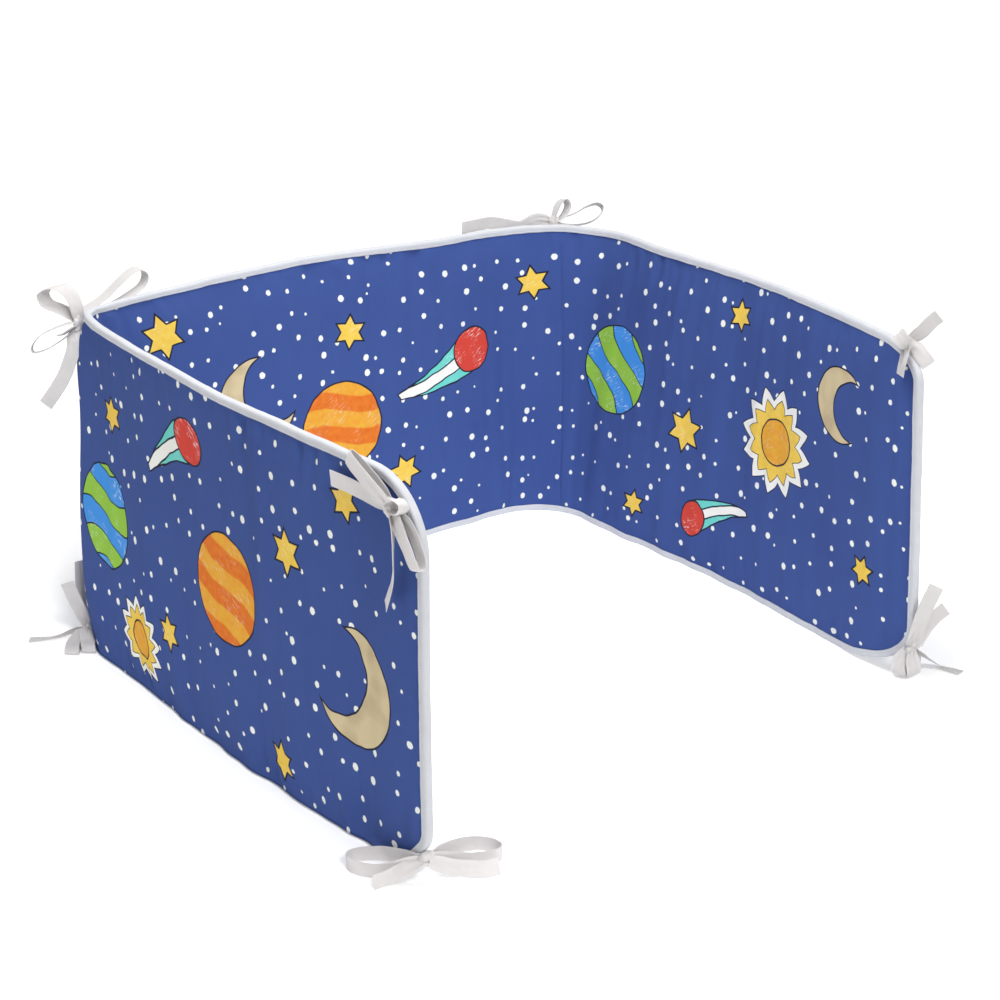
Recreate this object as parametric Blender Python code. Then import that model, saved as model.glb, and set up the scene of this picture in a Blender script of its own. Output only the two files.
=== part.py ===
"""Crib bumper: one long padded strip with a taped edge, standing in a U, with eight tape ties.

The strip runs from end A along the left side to bend B, along the back to bend C, and along the
right side to end D. Metres, +Z up; the U opens towards -Y and stands on Z = 0. A place on the strip
is given as (s, z): s along it from end A, z up from the floor.
"""
import math
from collections import namedtuple
from functools import lru_cache

import bmesh
import bpy
from mathutils import Matrix, Vector
from mathutils.bvhtree import BVHTree

# ---------------------------------------------------------------- driving sizes
HEIGHT = 0.400                      # the strip with its binding
PANELS = (0.700, 0.720, 0.700)      # left, back and right, between the corners' crossing lines
HEADINGS = (90.3, 0.0, -93.7)       # of the three panels in plan, degrees from +X
BACK_LEFT = (-0.3525, 0.346)        # where the left and the back panels' lines cross, at the floor

GAP = 0.0003              # between neighbouring pieces
TAPE = 0.0010             # thickness of the binding
BAND = 0.0085             # how far the binding reaches in from the pad's edge, on each face
LOW_BAND_OUT = 0.0018     # the same along the lower edge of the outer face
EDGE_HALF = 0.0030        # half the pad's thickness inside the binding
CROWN_HALF = 0.0080       # half its thickness at the crown
SWELL = 0.060             # the crown is reached this far in from the binding
FLAT_HALF = 0.0034        # half the binding's flat back, which is its foot on the floor
SHOULDER = 0.0006         # where the binding starts to round off, in from the pad's edge

LEG_IN = EDGE_HALF + GAP            # the binding's inner and outer faces, from the strip's middle
LEG_OUT = LEG_IN + TAPE
RIM = TAPE + GAP                    # the pad's edge lies this far inside the outline

# How far the upper corners lean out of line with the lower ones (x, y), and the bends' radii.
LEAN = ((-0.002, -0.003), (0.043, 0.003), (0.023, -0.017), (-0.020, 0.008))
BEND_B = (0.072, 0.028)   # radius at the floor and higher up
BEND_B_FADE = 4           # how soon the floor's radius gives way to the upper one
BEND_C = (0.081, 0.119)
BOW_LOW = (0.009, 0.005, 0.015)     # outward bow of each panel, at the floor and at the top
BOW_TOP = (0.013, 0.020, 0.014)
TOP_RISE = (0.000, 0.0025, 0.001)   # how far the upper edge rises in the middle of each panel

# The tie draws the top of bend B inwards and pinches it.
PULL_B = (-0.029, -0.016)           # of the whole corner
PULL_FROM = 0.60                    # from this share of the height up
PINCH_B = (0.014, -0.014)           # of the bend alone
PINCH_RADIUS = 0.018
PINCH_REACH = 0.050                 # along the strip
PINCH_FROM = 0.78

# Rounded corners of the strip's ends: (reach along the strip, reach up or down).
Corner = namedtuple("Corner", "along up")
CORNER = {
    "A_low": Corner(0.130, 0.055),
    "A_top": Corner(0.075, 0.070),
    "D_low": Corner(0.130, 0.075),
    "D_top": Corner(0.075, 0.042),
}
LEAST_CORNER = 0.008      # a ring's corner is never tighter than this

# Soft upright waves in the padding: (length of one wave, height, where it starts).
WAVES = ((0.170, 0.0010, 0.4), (0.290, 0.0010, 1.9))

# ---------------------------------------------------------------- mesh steps
RINGS = (0.0, BAND + 0.0005, 0.030, 0.048, BAND + SWELL)    # distances in from the pad's edge
PANEL_STEPS = (12, 13, 12)
BEND_STEPS = (6, 7)
END_CLEAR = 0.145         # the even columns start this far from the strip's ends
CORNER_ANGLES = (28.0, 45.0, 60.0, 75.0, 90.0)      # along the corner, for columns 0 to 4
END_ANGLES = (28.0, 14.0, 0.0)                      # down the end, for rows 0 to 2
ROWS = 8
NARROWING = 2             # the binding narrows over this many columns at each end of the lower edge

# ---------------------------------------------------------------- ties
TIE_WIDTH = 0.016
TIE_THICK = 0.0014
TIE_PINCH = 0.55          # the tape's width inside its knot, as a share of the full width
TIE_SPREAD = 0.014        # the tape is at full width this far out of the knot
CLEARING_ROUNDS = 4
INSIDE = -0.5             # a point is inside where the surface faces away from it by this cosine
LEAST_LEVEL = 0.2         # the tape is moved level, and only off surfaces that are upright enough
TIE_STEPS = 3             # sections between two route points
TIE_CLEAR = 0.0010        # the tape keeps this far from the pad and the binding
KNOT_BEVEL = 0.003
KNOT_REACH = 0.012        # a run that ends this near the knot's middle is a loop
VIEW_TURN = -38.2         # ties are laid out across, up and near, as seen from the open front corner

# One run of tape: its route out of the knot's middle, and the direction of its width at the knot
# and at its far end, all as (across, up, near), the route in millimetres. A run that comes back to
# the knot is a loop, and its far end is half way round.
Run = namedtuple("Run", "route at_knot far_off")
# A tie: the place of its knot on the strip, how far the knot's back stands off the strip's middle,
# the knot's size (along the edge, across it, depth) in millimetres, and its runs.
Tie = namedtuple("Tie", "place stand knot runs")
UPRIGHT = (0.0, 1.0, 0.1)
ACROSS = (1.0, 0.0, 0.1)
NEAR = (0.0, 0.1, 1.0)
ON_LEFT_FACE = (0.32, 0.86, 0.41)   # square to a run that climbs the left panel's outer face

TIES = {
    "tie_a_top": Tie(("face", "A", 0.040, 0.371), 0.0057, (15, 17, 9), (
        # square tail to the left, along the outer face
        Run(((0, 1, 0), (-19, 2, -22), (-36, 3, -42), (-58, 2, -69)), UPRIGHT, UPRIGHT),
        # broad loop up to the top edge and back
        Run(((-1, 1, 3), (-14, 12, -8), (-26, 21, -23), (-36, 28.5, -36), (-39, 31.5, -41),
             (-39.5, 32.5, -43.5), (-38, 32.5, -44.5), (-35, 31, -42), (-29, 28.5, -35.5),
             (-20, 24.5, -25), (-9, 18, -10), (1, 3, -1)),
            ON_LEFT_FACE, ON_LEFT_FACE),
        # small tuck towards the binding
        Run(((0, 4, 5), (2, 11, 14), (7, 16, 22), (12, 13, 26), (12, 6, 24), (7, 1, 18), (2, 0, 7)),
            (-0.7, 0.2, 0.7), (-0.5, 0.2, 0.85)),
        # loop hanging down towards the end
        Run(((1, -2, 3), (9, -15, 22), (16, -28, 34), (20, -37, 40), (23, -42, 42), (27, -42, 40),
             (28, -36, 38), (25, -26, 33), (18, -12, 22), (4, -1, 1)), (0.54, 0.3, 0.75), (0.54, 0.3, 0.75)),
        # thin tail hanging straight down
        Run(((0, -3, 1), (2, -20, 11), (2, -41, 14), (1, -65, 12), (-6, -93, 4)), (-0.2, 0, 1), (0.2, 0, 1)),
    )),
    "tie_b_top": Tie(("face", "B", 0.0, 0.383), 0.0072, (11, 19, 9), (
        # upper left loop
        Run(((1, 4, 1), (0, 19, 2), (-5, 33, 2), (-14, 42, 2), (-28, 41, 1), (-37, 33, -1),
             (-33, 22, -3), (-20, 16, -3), (-7, 9, -3), (-1, 2, -2)), (0.75, 0.1, -0.65), (0.75, 0.1, -0.65)),
        # right loop, along the back panel's outer side
        Run(((-1, 5, -3), (-3, 7, -14), (3, 9, -27), (11, 12, -35), (22, 18, -46), (33, 28, -54),
             (47, 40, -63), (57, 44, -71), (64, 37, -76), (61, 25, -74), (49, 16, -66), (35, 9, -56),
             (22, 4, -45), (10, 1, -33), (0, -1, -18), (-1, -3, -3)), (-0.62, 0.05, -0.78),
            (-0.62, 0.05, -0.78)),
        # thin lower left loop
        Run(((-1, 1, 2), (-7, 1, 3), (-20, -2, 4), (-41, -12, 4), (-52, -24, 4), (-51, -33, 3),
             (-36, -29, 3), (-18, -18, 3), (-6, -8, 2), (0, -4, 1)), (0.1, 0.2, 1.0), (0.1, 0.2, 1.0)),
        # broad tail hanging down
        Run(((0, -5, 2), (-2, -16, 9), (-7, -32, 12), (-18, -58, 12), (-31, -78, 11), (-42, -93, 8)),
            (1, 0, 0.3), (0.85, -0.5, 0.1)),
        # short thin tail
        Run(((-1, -2, 3), (-7, -4, 9), (-15, -9, 10), (-21, -11, 10)), (0, 0.3, 1), (0, 0.3, 1)),
    )),
    "tie_c_top": Tie(("face", "C", -0.012, 0.402), LEG_OUT + GAP, (13, 12, 9), (
        # small loop standing up
        Run(((-2, 2, 0), (0, 11, -2), (5, 23, -3), (12, 29, -4), (17, 21, -4), (13, 10, -3), (4, 1, 1)),
            (0.5, 0.2, 0.85), (0.5, 0.2, 0.85)),
        # right loop
        Run(((3, 2, -3), (26, 10, -5), (40, 18, -6), (54, 22, -7), (62, 16, -7), (57, 6, -6),
             (44, -2, -5), (26, -5, -5), (4, -3, -2)), (0.1, 0.3, 0.95), (0.1, 0.5, 0.85)),
        # long tail behind the back panel's edge
        Run(((-1, 0, -1), (-13, 3, -1), (-26, 3, 0), (-44, -5, 5), (-63, -1, 12), (-80, 4, 22),
             (-93, 5, 32), (-118, 4, 50)), UPRIGHT, UPRIGHT),
    )),
    "tie_d_top": Tie(("rim", "D_top", 53.0), GAP, (20, 17, 11), (
        # tail up to the right
        Run(((1, 1, 0), (9, 7, 1), (16, 13, 2), (23, 22, 3), (32, 30, 3)), (-0.6, 0.8, 0.1), (-0.6, 0.8, 0.1)),
        # tail down to the right
        Run(((2, -1, 1), (9, -4, 9), (15, -11, 14), (22, -20, 17)), (0.75, 0.65, 0), (0.75, 0.65, 0)),
        # short tail down to the left
        Run(((-1, -2, 5), (-4, -12, 13), (-6, -22, 14), (-7, -32, 14)), (0.3, 0, 0.95), (0.3, 0, 0.95)),
        # flat loop over the knot and the binding
        Run(((1, 0, 2), (-5, 5, 6), (-10, 10, 8), (-13, 12, 10), (-13, 12, 13), (-10, 10, 15),
             (-5, 5, 15), (1, 0, 9)), (0.68, 0.73, 0.0), (0.68, 0.73, 0.0)),
    )),
    "tie_a_low": Tie(("rim", "A_low", 24.0), GAP, (14, 14, 10), (
        # left loop, on its edge on the floor
        Run(((-2, -2, 0), (-11, -5, -3), (-26, -12, -21), (-45, -18, -36), (-64, -20, -38), (-74, -20, -33),
             (-77, -20, -26), (-72, -20, -17), (-60, -20, -10), (-43, -19, -6), (-26, -13, -3),
             (-2, -1, 3)), UPRIGHT, UPRIGHT),
        # right loop
        Run(((1, 1, -2), (6, -1, -5), (20, -8, -28), (34, -15, -47), (48, -19, -56), (62, -20, -54), (70, -20, -45),
             (67, -20, -36), (54, -20, -30), (37, -18, -24), (20, -11, -13), (3, -1, 1)), UPRIGHT, UPRIGHT),
        # tail towards the front
        Run(((-2, -2, 4), (-20, -13, 3), (-33, -19, 4), (-49, -21, 12)), (0.3, 0.9, -0.3), (0.4, 0.85, -0.3)),
        # tail to the right
        Run(((3, -3, 3), (20, -14, -6), (37, -19, -10), (54, -21, -12), (68, -21, -18)), UPRIGHT,
            (0, 0.8, -0.6)),
    )),
    "tie_b_low": Tie(("face", "B", 0.0, 0.013), 0.0052, (13, 16, 11), (
        # two loops lying to the front
        Run(((-2.6, 0.4, 3.4), (-9, -0.4, 16), (-14, -3.5, 32), (-13.5, -4.4, 45), (-13, -6.6, 50),
             (-13, -9.4, 51), (-13, -12, 47), (-13.5, -12, 32), (-10, -11, 16), (-3.4, -5.2, 3.6)),
            ACROSS, ACROSS),
        Run(((-1, 2.5, 4), (-1, 2, 18), (2, -2, 32), (4.5, -3, 43), (5.5, -5.5, 47), (5.5, -8.5, 48),
             (5.5, -11.4, 44), (3, -11.5, 32), (-1, -9.5, 15), (-1, -3, 3)), ACROSS, ACROSS),
        # tail lying away to the left
        Run(((-4, -2, -1), (-20, -4, 1), (-36, -9, 5), (-54, -12, 8), (-71, -12, 10)), (0, 0.8, 0.5), NEAR),
        # two tails standing up against the bend
        Run(((-2, 1, -3), (-8, 14, -11), (-10, 46, -15), (-9, 78, -16)), (0.8, 0, -0.6), (0.8, 0, -0.6)),
        Run(((-2, 2, 2), (-9, 22, 5), (-16, 42, 7), (-22, 60, 7)), (1, 0.1, 0), (0.94, 0.35, 0)),
    )),
    "tie_c_low": Tie(("face", "C", 0.0, 0.016), 0.0041, (12, 14, 9), (
        # two loops and a tail, lying behind the bend
        Run(((-2, 1, 1), (-14, -3, -3), (-30, -7, -12), (-42, -8, -22), (-46, -8, -31), (-38, -8, -33),
             (-24, -7, -25), (-11, -4, -13), (-2, 0, -3)), UPRIGHT, UPRIGHT),
        Run(((2, 1, 1), (14, -3, -5), (30, -7, -18), (40, -8, -30), (41, -8, -39), (33, -8, -39),
             (22, -7, -29), (11, -4, -15), (2, 0, -3)), UPRIGHT, UPRIGHT),
        Run(((0, -3, -2), (-3, -14, -20), (-5, -15.3, -36), (-9, -15.3, -50)), ACROSS, ACROSS),
    )),
    "tie_d_low": Tie(("rim", "D_low", 22.0), GAP, (13, 12, 8), (
        # two tails standing up to the right
        Run(((0, 1, 1), (2, 15, 10), (4, 36, 16), (10, 60, 18), (19, 84, 18)), (1, 0, 0.2), (1, 0, 0.2)),
        Run(((0, 1, 2), (4, 11, 9), (10, 29, 14), (21, 45, 14), (33, 55, 12)), (0.9, -0.3, 0), (0.78, -0.62, 0)),
        # tail down to the floor on the right
        Run(((1, -1, -1), (9, -9, -12), (21, -21, -26), (40, -38, -41), (54, -43, -36), (66, -44, -28)),
            (0.2, 0.6, 0.8), NEAR),
        # two loops hanging down to the floor
        Run(((-3, 2, 1), (-10, -8, 1), (-11, -25, -6), (-8, -38, -15), (-7, -42.5, -22), (-5, -38, -28),
             (-2, -22, -19), (1, -1, -3)), (1, 0.15, 0), (1, 0.15, 0)),
        Run(((1, 1, 2), (2, -8, 3), (6, -24, -4), (9, -38, -13), (10, -42.5, -20), (10, -38, -26),
             (8, -22, -16), (4, -1, -2)), (1, -0.15, 0), (1, -0.15, 0)),
    )),
}

# ---------------------------------------------------------------- colours
CLOTH_BLUE = (0.065, 0.110, 0.366)
TAPE_WHITE = (0.80, 0.82, 0.84)
TIE_WHITE = (0.80, 0.77, 0.75)


# ---------------------------------------------------------------- plan of the strip
def mix(low, high, share):
    return low + (high - low) * share


def along(heading):
    return Vector((math.cos(math.radians(heading)), math.sin(math.radians(heading))))


def left_of(direction):
    return Vector((-direction.y, direction.x))


def top_share(share, start):
    """How far a place has come into the drawn-in top of bend B, from 0 to 1."""
    return max(0.0, (share - start) / (1.0 - start)) ** 2


def plan_corners(share):
    """The four corners of the plan at a share of the height: A, B, C and D."""
    b = Vector(BACK_LEFT)
    c = b + PANELS[1] * along(HEADINGS[1])
    corners = [b - PANELS[0] * along(HEADINGS[0]), b, c, c + PANELS[2] * along(HEADINGS[2])]
    leaned = [corner + share * Vector(lean) for corner, lean in zip(corners, LEAN)]
    leaned[1] += Vector(PULL_B) * top_share(share, PULL_FROM)
    return leaned


def bowed(start, end, bow):
    """A panel's line with a soft outward bow: share -> point and direction."""
    run = end - start
    out = left_of(run.normalized())

    def at(share):
        point = start + run * share + out * bow * math.sin(math.pi * share) ** 2
        slope = run + out * bow * math.pi * math.sin(2 * math.pi * share)
        return point, slope.normalized()
    return at


def bend(before, corner, after, radius):
    """A round bend at a corner: its two ends, its length and share -> point and direction."""
    back = (before - corner).normalized()
    ahead = (after - corner).normalized()
    half = back.angle(ahead) / 2
    centre = corner + (back + ahead).normalized() * radius / math.sin(half)
    start = corner + back * radius / math.tan(half)
    end = corner + ahead * radius / math.tan(half)
    sweep = math.pi - 2 * half
    first = start - centre

    def at(share):
        arm = Matrix.Rotation(-sweep * share, 2) @ first
        return centre + arm, Vector((arm.y, -arm.x)).normalized()
    return start, end, radius * sweep, at


@lru_cache(maxsize=None)
def plan_stretches(share):
    """The plan at a share of the height: left, bend B, back, bend C, right, as (length, curve)."""
    a, b, c, d = plan_corners(share)
    radius = mix(BEND_B[1], BEND_B[0], (1 - share) ** BEND_B_FADE)
    radius = mix(radius, PINCH_RADIUS, top_share(share, PINCH_FROM))
    b_start, b_end, b_length, b_curve = bend(a, b, c, radius)
    c_start, c_end, c_length, c_curve = bend(b, c, d, mix(BEND_C[0], BEND_C[1], share))
    bows = [mix(low, top, share) for low, top in zip(BOW_LOW, BOW_TOP)]
    return (
        ((b_start - a).length, bowed(a, b_start, bows[0])),
        (b_length, b_curve),
        ((c_start - b_end).length, bowed(b_end, c_start, bows[1])),
        (c_length, c_curve),
        ((d - c_end).length, bowed(c_end, d, bows[2])),
    )


def stretch_marks():
    """Where the five stretches start and end along the strip, at half its height."""
    marks = [0.0]
    for length, _ in plan_stretches(0.5):
        marks.append(marks[-1] + length)
    return marks


MARKS = stretch_marks()
LENGTH = MARKS[-1]
BEND_MIDDLE = {"A": 0.0, "B": (MARKS[1] + MARKS[2]) / 2, "C": (MARKS[3] + MARKS[4]) / 2}


def on_strip(s, z, out=0.0):
    """The point at (s, z), out from the strip's middle towards the U's outside, and that direction."""
    share = min(max(z / HEIGHT, 0.0), 1.0)
    index = next(i for i in range(5) if s <= MARKS[i + 1] or i == 4)
    reach = (s - MARKS[index]) / (MARKS[index + 1] - MARKS[index])
    point, direction = plan_stretches(round(share, 6))[index][1](reach)
    near_b = math.exp(-((s - BEND_MIDDLE["B"]) / PINCH_REACH) ** 2)
    point = point + Vector(PINCH_B) * near_b * top_share(share, PINCH_FROM)
    wave = sum(high * math.sin(2 * math.pi * s / long + start) for long, high, start in WAVES)
    normal = left_of(direction)
    point = point + normal * (out + wave * math.sin(math.pi * share))
    rise = 0.0
    if index % 2 == 0:
        rise = TOP_RISE[index // 2] * share * math.sin(math.pi * min(max(reach, 0.0), 1.0)) ** 2
    return Vector((point.x, point.y, z + rise)), Vector((normal.x, normal.y, 0.0))


# ---------------------------------------------------------------- rings of places on the strip
def even(start, end, steps):
    return [mix(start, end, i / steps) for i in range(steps + 1)]


def column_places():
    """The s of every column between the two ends' rounded corners."""
    ends = [END_CLEAR] + MARKS[1:5] + [LENGTH - END_CLEAR]
    steps = (PANEL_STEPS[0], BEND_STEPS[0], PANEL_STEPS[1], BEND_STEPS[1], PANEL_STEPS[2])
    places = [END_CLEAR]
    for start, end, count in zip(ends, ends[1:], steps):
        places += even(start, end, count)[1:]
    return places


COLUMNS = column_places()
ARC_STEPS = len(CORNER_ANGLES)
LAST_COLUMN = len(COLUMNS) - 1 + 2 * ARC_STEPS


def corner_place(name, angle, inset):
    """A place on the rounded corner of a ring; 90 degrees is on the long edge, 0 on the end."""
    corner = CORNER[name]
    wide = max(corner.along - inset, LEAST_CORNER)
    high = max(corner.up - inset, LEAST_CORNER)
    s = inset + wide * (1 - math.cos(math.radians(angle)))
    z = inset + high * (1 - math.sin(math.radians(angle)))
    if name.startswith("D"):
        s = LENGTH - s
    if name.endswith("top"):
        z = HEIGHT - z
    return s, z


def edge_place(column, level, inset):
    """A place on a ring's lower or upper edge; level is low or top."""
    if column < ARC_STEPS:
        return corner_place("A_" + level, CORNER_ANGLES[column], inset)
    if column > LAST_COLUMN - ARC_STEPS:
        return corner_place("D_" + level, CORNER_ANGLES[LAST_COLUMN - column], inset)
    z = inset if level == "low" else HEIGHT - inset
    return COLUMNS[column - ARC_STEPS], z


def end_place(row, end, inset):
    """A place on a ring's left or right end; end is A or D."""
    arc = len(END_ANGLES) - 1
    if row <= arc:
        return corner_place(end + "_low", END_ANGLES[row], inset)
    if row >= ROWS - arc:
        return corner_place(end + "_top", END_ANGLES[ROWS - row], inset)
    low = corner_place(end + "_low", 0.0, inset)
    top = corner_place(end + "_top", 0.0, inset)
    share = (row - arc) / (ROWS - 2 * arc)
    return mix(low[0], top[0], share), mix(low[1], top[1], share)


def ring_cells():
    """The (column, row) of every place round a ring, once round."""
    cells = [(column, 0) for column in range(LAST_COLUMN + 1)]
    cells += [(LAST_COLUMN, row) for row in range(1, ROWS)]
    cells += [(column, ROWS) for column in range(LAST_COLUMN, -1, -1)]
    cells += [(0, row) for row in range(ROWS - 1, 0, -1)]
    return cells


CELLS = ring_cells()


def ring_place(cell, inset):
    column, row = cell
    if row == 0:
        return edge_place(column, "low", inset)
    if row == ROWS:
        return edge_place(column, "top", inset)
    return end_place(row, "A" if column == 0 else "D", inset)


def inner_place(column, row, inset):
    """A place inside the innermost ring, blended from its four sides."""
    u = column / LAST_COLUMN
    v = row / ROWS
    low = Vector(edge_place(column, "low", inset))
    top = Vector(edge_place(column, "top", inset))
    left = Vector(end_place(row, "A", inset))
    right = Vector(end_place(row, "D", inset))
    low_left = Vector(edge_place(0, "low", inset))
    low_right = Vector(edge_place(LAST_COLUMN, "low", inset))
    top_left = Vector(edge_place(0, "top", inset))
    top_right = Vector(edge_place(LAST_COLUMN, "top", inset))
    corners = (low_left.lerp(low_right, u)).lerp(top_left.lerp(top_right, u), v)
    return low.lerp(top, v) + left.lerp(right, u) - corners


# ---------------------------------------------------------------- pieces
def material(name, colour, roughness):
    made = bpy.data.materials.new(name)
    made.use_nodes = True
    shader = made.node_tree.nodes["Principled BSDF"]
    shader.inputs["Base Color"].default_value = (*colour, 1.0)
    shader.inputs["Roughness"].default_value = roughness
    shader.inputs["Metallic"].default_value = 0.0
    made.diffuse_color = (*colour, 1.0)
    return made


def finish_object(name, mesh, skin):
    """Turn a bmesh into a named object with its faces outwards."""
    bmesh.ops.recalc_face_normals(mesh, faces=mesh.faces)
    data = bpy.data.meshes.new(name)
    mesh.to_mesh(data)
    mesh.free()
    data.shade_smooth()
    data.set_sharp_from_angle(angle=math.radians(40))
    made = bpy.data.objects.new(name, data)
    made.data.materials.append(skin)
    bpy.context.scene.collection.objects.link(made)
    return made


def split_quad(mesh, a, b, c, d):
    """Two triangles that meet along a-c, so that the binding bends exactly as the pad below it."""
    mesh.faces.new((a, b, c))
    mesh.faces.new((a, c, d))


def pad_half(distance):
    """Half the pad's thickness at a distance in from its edge."""
    swell = min(max((distance - RINGS[1]) / (RINGS[-1] - RINGS[1]), 0.0), 1.0)
    return mix(EDGE_HALF, CROWN_HALF, math.sin(swell * math.pi / 2))


def pad_face(mesh, side):
    """One face of the pad: rings in from the edge, then a grid. Returns the outermost ring."""
    rings = []
    for distance in RINGS:
        half = side * pad_half(distance)
        places = [ring_place(cell, RIM + distance) for cell in CELLS]
        rings.append([mesh.verts.new(on_strip(s, z, half)[0]) for s, z in places])
    count = len(CELLS)
    for outer, inner in zip(rings, rings[1:]):
        for i in range(count):
            j = (i + 1) % count
            split_quad(mesh, outer[i], outer[j], inner[j], inner[i])
    grid = dict(zip(CELLS, rings[-1]))
    for column in range(1, LAST_COLUMN):
        for row in range(1, ROWS):
            s, z = inner_place(column, row, RIM + RINGS[-1])
            grid[column, row] = mesh.verts.new(on_strip(s, z, side * CROWN_HALF)[0])
    for column in range(LAST_COLUMN):
        for row in range(ROWS):
            mesh.faces.new((grid[column, row], grid[column + 1, row],
                            grid[column + 1, row + 1], grid[column, row + 1]))
    return rings[0]


def make_pad(skin):
    mesh = bmesh.new()
    outside = pad_face(mesh, 1)
    inside = pad_face(mesh, -1)
    for i in range(len(CELLS)):
        j = (i + 1) % len(CELLS)
        split_quad(mesh, outside[i], inside[i], inside[j], outside[j])
    return finish_object("pad", mesh, skin)


def outer_leg(cell):
    """How far the binding reaches in on the outer face; it narrows along the lower edge."""
    column, row = cell
    if row > 0:
        return BAND
    share = min(column, LAST_COLUMN - column, NARROWING) / NARROWING
    return mix(BAND, LOW_BAND_OUT, share)


def on_foot(cell):
    """Whether this place is on the long straight edge that the strip stands on."""
    column, row = cell
    return row == 0 and ARC_STEPS <= column <= LAST_COLUMN - ARC_STEPS


def binding_profile(leg):
    """The folded tape's section: (distance in from the pad's edge, distance out of the middle)."""
    return ((leg, LEG_OUT), (SHOULDER, LEG_OUT), (-RIM, FLAT_HALF), (-RIM, -FLAT_HALF),
            (SHOULDER, -LEG_OUT), (BAND, -LEG_OUT), (BAND, -LEG_IN), (-GAP, -LEG_IN),
            (-GAP, LEG_IN), (leg, LEG_IN))


INWARD_FACES = (3, 4, 8)      # of the profile's faces, those that run in from the edge


def make_binding(skin):
    mesh = bmesh.new()
    sections = []
    for cell in CELLS:
        edge, edge_out = on_strip(*ring_place(cell, RIM))
        inner, inner_out = on_strip(*ring_place(cell, RIM + RINGS[1]))
        inward = (inner - edge).normalized()
        section = []
        for depth, out in binding_profile(outer_leg(cell)):
            normal = edge_out.lerp(inner_out, min(max(depth / RINGS[1], 0.0), 1.0))
            point = edge + inward * depth + normal * out
            if depth == -RIM and on_foot(cell):
                point.z = 0.0
            section.append(mesh.verts.new(point))
        sections.append(section)
    count = len(sections)
    for i in range(count):
        here, there = sections[i], sections[(i + 1) % count]
        for k in range(len(here)):
            m = (k + 1) % len(here)
            if k in INWARD_FACES:
                split_quad(mesh, here[k], here[m], there[m], there[k])
            else:
                split_quad(mesh, here[m], there[m], there[k], here[k])
    return finish_object("binding", mesh, skin)


# ---------------------------------------------------------------- ties
def view_axes():
    turn = math.radians(VIEW_TURN)
    across = Vector((math.cos(turn), math.sin(turn), 0.0))
    near = Vector((math.sin(turn), -math.cos(turn), 0.0))
    return Matrix((across, Vector((0, 0, 1)), near)).transposed()


VIEW = view_axes()


def smooth_route(points):
    """Points along one smooth curve through the route's own points."""
    padded = [2 * points[0] - points[1]] + points + [2 * points[-1] - points[-2]]
    route = []
    for i in range(len(points) - 1):
        a, b, c, d = padded[i:i + 4]
        for step in range(TIE_STEPS):
            t = step / TIE_STEPS
            route.append(0.5 * (2 * b + (c - a) * t + (2 * a - 5 * b + 4 * c - d) * t ** 2
                                + (3 * b - a - 3 * c + d) * t ** 3))
    return route + [points[-1]]


def run_section(point, direction, width_way, width, square):
    """The four corners of the tape at a point, lifted where they would reach below the floor.

    Its width is kept square to the route by the share in square; at a loop's tip it is not, so
    that the tape can't fold through itself there.
    """
    wide = (width_way - direction * width_way.dot(direction) * square).normalized() * width / 2
    thick = direction.cross(wide).normalized() * TIE_THICK / 2
    corners = [point + wide + thick, point + wide - thick, point - wide - thick, point - wide + thick]
    lift = max(0.0, -min(corner.z for corner in corners))
    return [corner + Vector((0, 0, lift)) for corner in corners]


def held_clear(corners, strip):
    """Move a section of tape off the strip's surfaces where it would come too near to them."""
    points = corners + [(corners[0] + corners[3]) / 2, (corners[1] + corners[2]) / 2]
    push = Vector((0, 0, 0))
    for point in points:
        for surface in strip:
            nearest, normal, _, distance = surface.find_nearest(point)
            away = point - nearest
            need = TIE_CLEAR - distance
            if away.dot(normal) < INSIDE * distance:
                away = -away
                need = TIE_CLEAR + distance
            level = Vector((away.x, away.y, 0))
            if need > push.length and level.length > LEAST_LEVEL * away.length:
                push = level.normalized() * need
    return [corner + push for corner in corners]


def make_run(name, run, middle, strip, skin):
    points = [middle + VIEW @ Vector(point) / 1000 for point in run.route]
    route = smooth_route(points)
    at_knot, far_off = VIEW @ Vector(run.at_knot), VIEW @ Vector(run.far_off)
    looped = (points[-1] - middle).length < KNOT_REACH
    mesh = bmesh.new()
    sections = []
    for i, point in enumerate(route):
        direction = (route[min(i + 1, len(route) - 1)] - route[max(i - 1, 0)]).normalized()
        share = i / (len(route) - 1)
        square = 1.0
        if looped:
            share = 1 - abs(2 * share - 1)
            square = min(1.0, 2 * (1 - share))
        spread = min((point - middle).length / TIE_SPREAD, 1.0)
        width = TIE_WIDTH * mix(TIE_PINCH, 1.0, spread)
        corners = run_section(point, direction, at_knot.lerp(far_off, share), width, square)
        for _ in range(CLEARING_ROUNDS):
            corners = held_clear(corners, strip)
        sections.append([mesh.verts.new(corner) for corner in corners])
    for here, there in zip(sections, sections[1:]):
        for k in range(4):
            m = (k + 1) % 4
            mesh.faces.new((here[k], here[m], there[m], there[k]))
    mesh.faces.new(sections[0])
    mesh.faces.new(list(reversed(sections[-1])))
    return finish_object(name, mesh, skin)


def knot_seat(tie):
    """The point that the knot's back faces, the way out from it, and the way along the edge."""
    if tie.place[0] == "face":
        _, bend_name, shift, z = tie.place
        s = BEND_MIDDLE[bend_name] + shift
        point, out = on_strip(s, z)
        edge = out.cross(Vector((0, 0, 1)))
        return point, out, edge
    _, corner, angle = tie.place
    point = on_strip(*corner_place(corner, angle, 0.0))[0]
    ahead = on_strip(*corner_place(corner, angle + 1, 0.0))[0]
    normal = on_strip(*corner_place(corner, angle, 0.0))[1]
    edge = (ahead - point).normalized()
    out = edge.cross(normal)
    inner = on_strip(*corner_place(corner, angle, BAND))[0]
    if out.dot(inner - point) > 0:
        out = -out
    return point, out, edge


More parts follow.
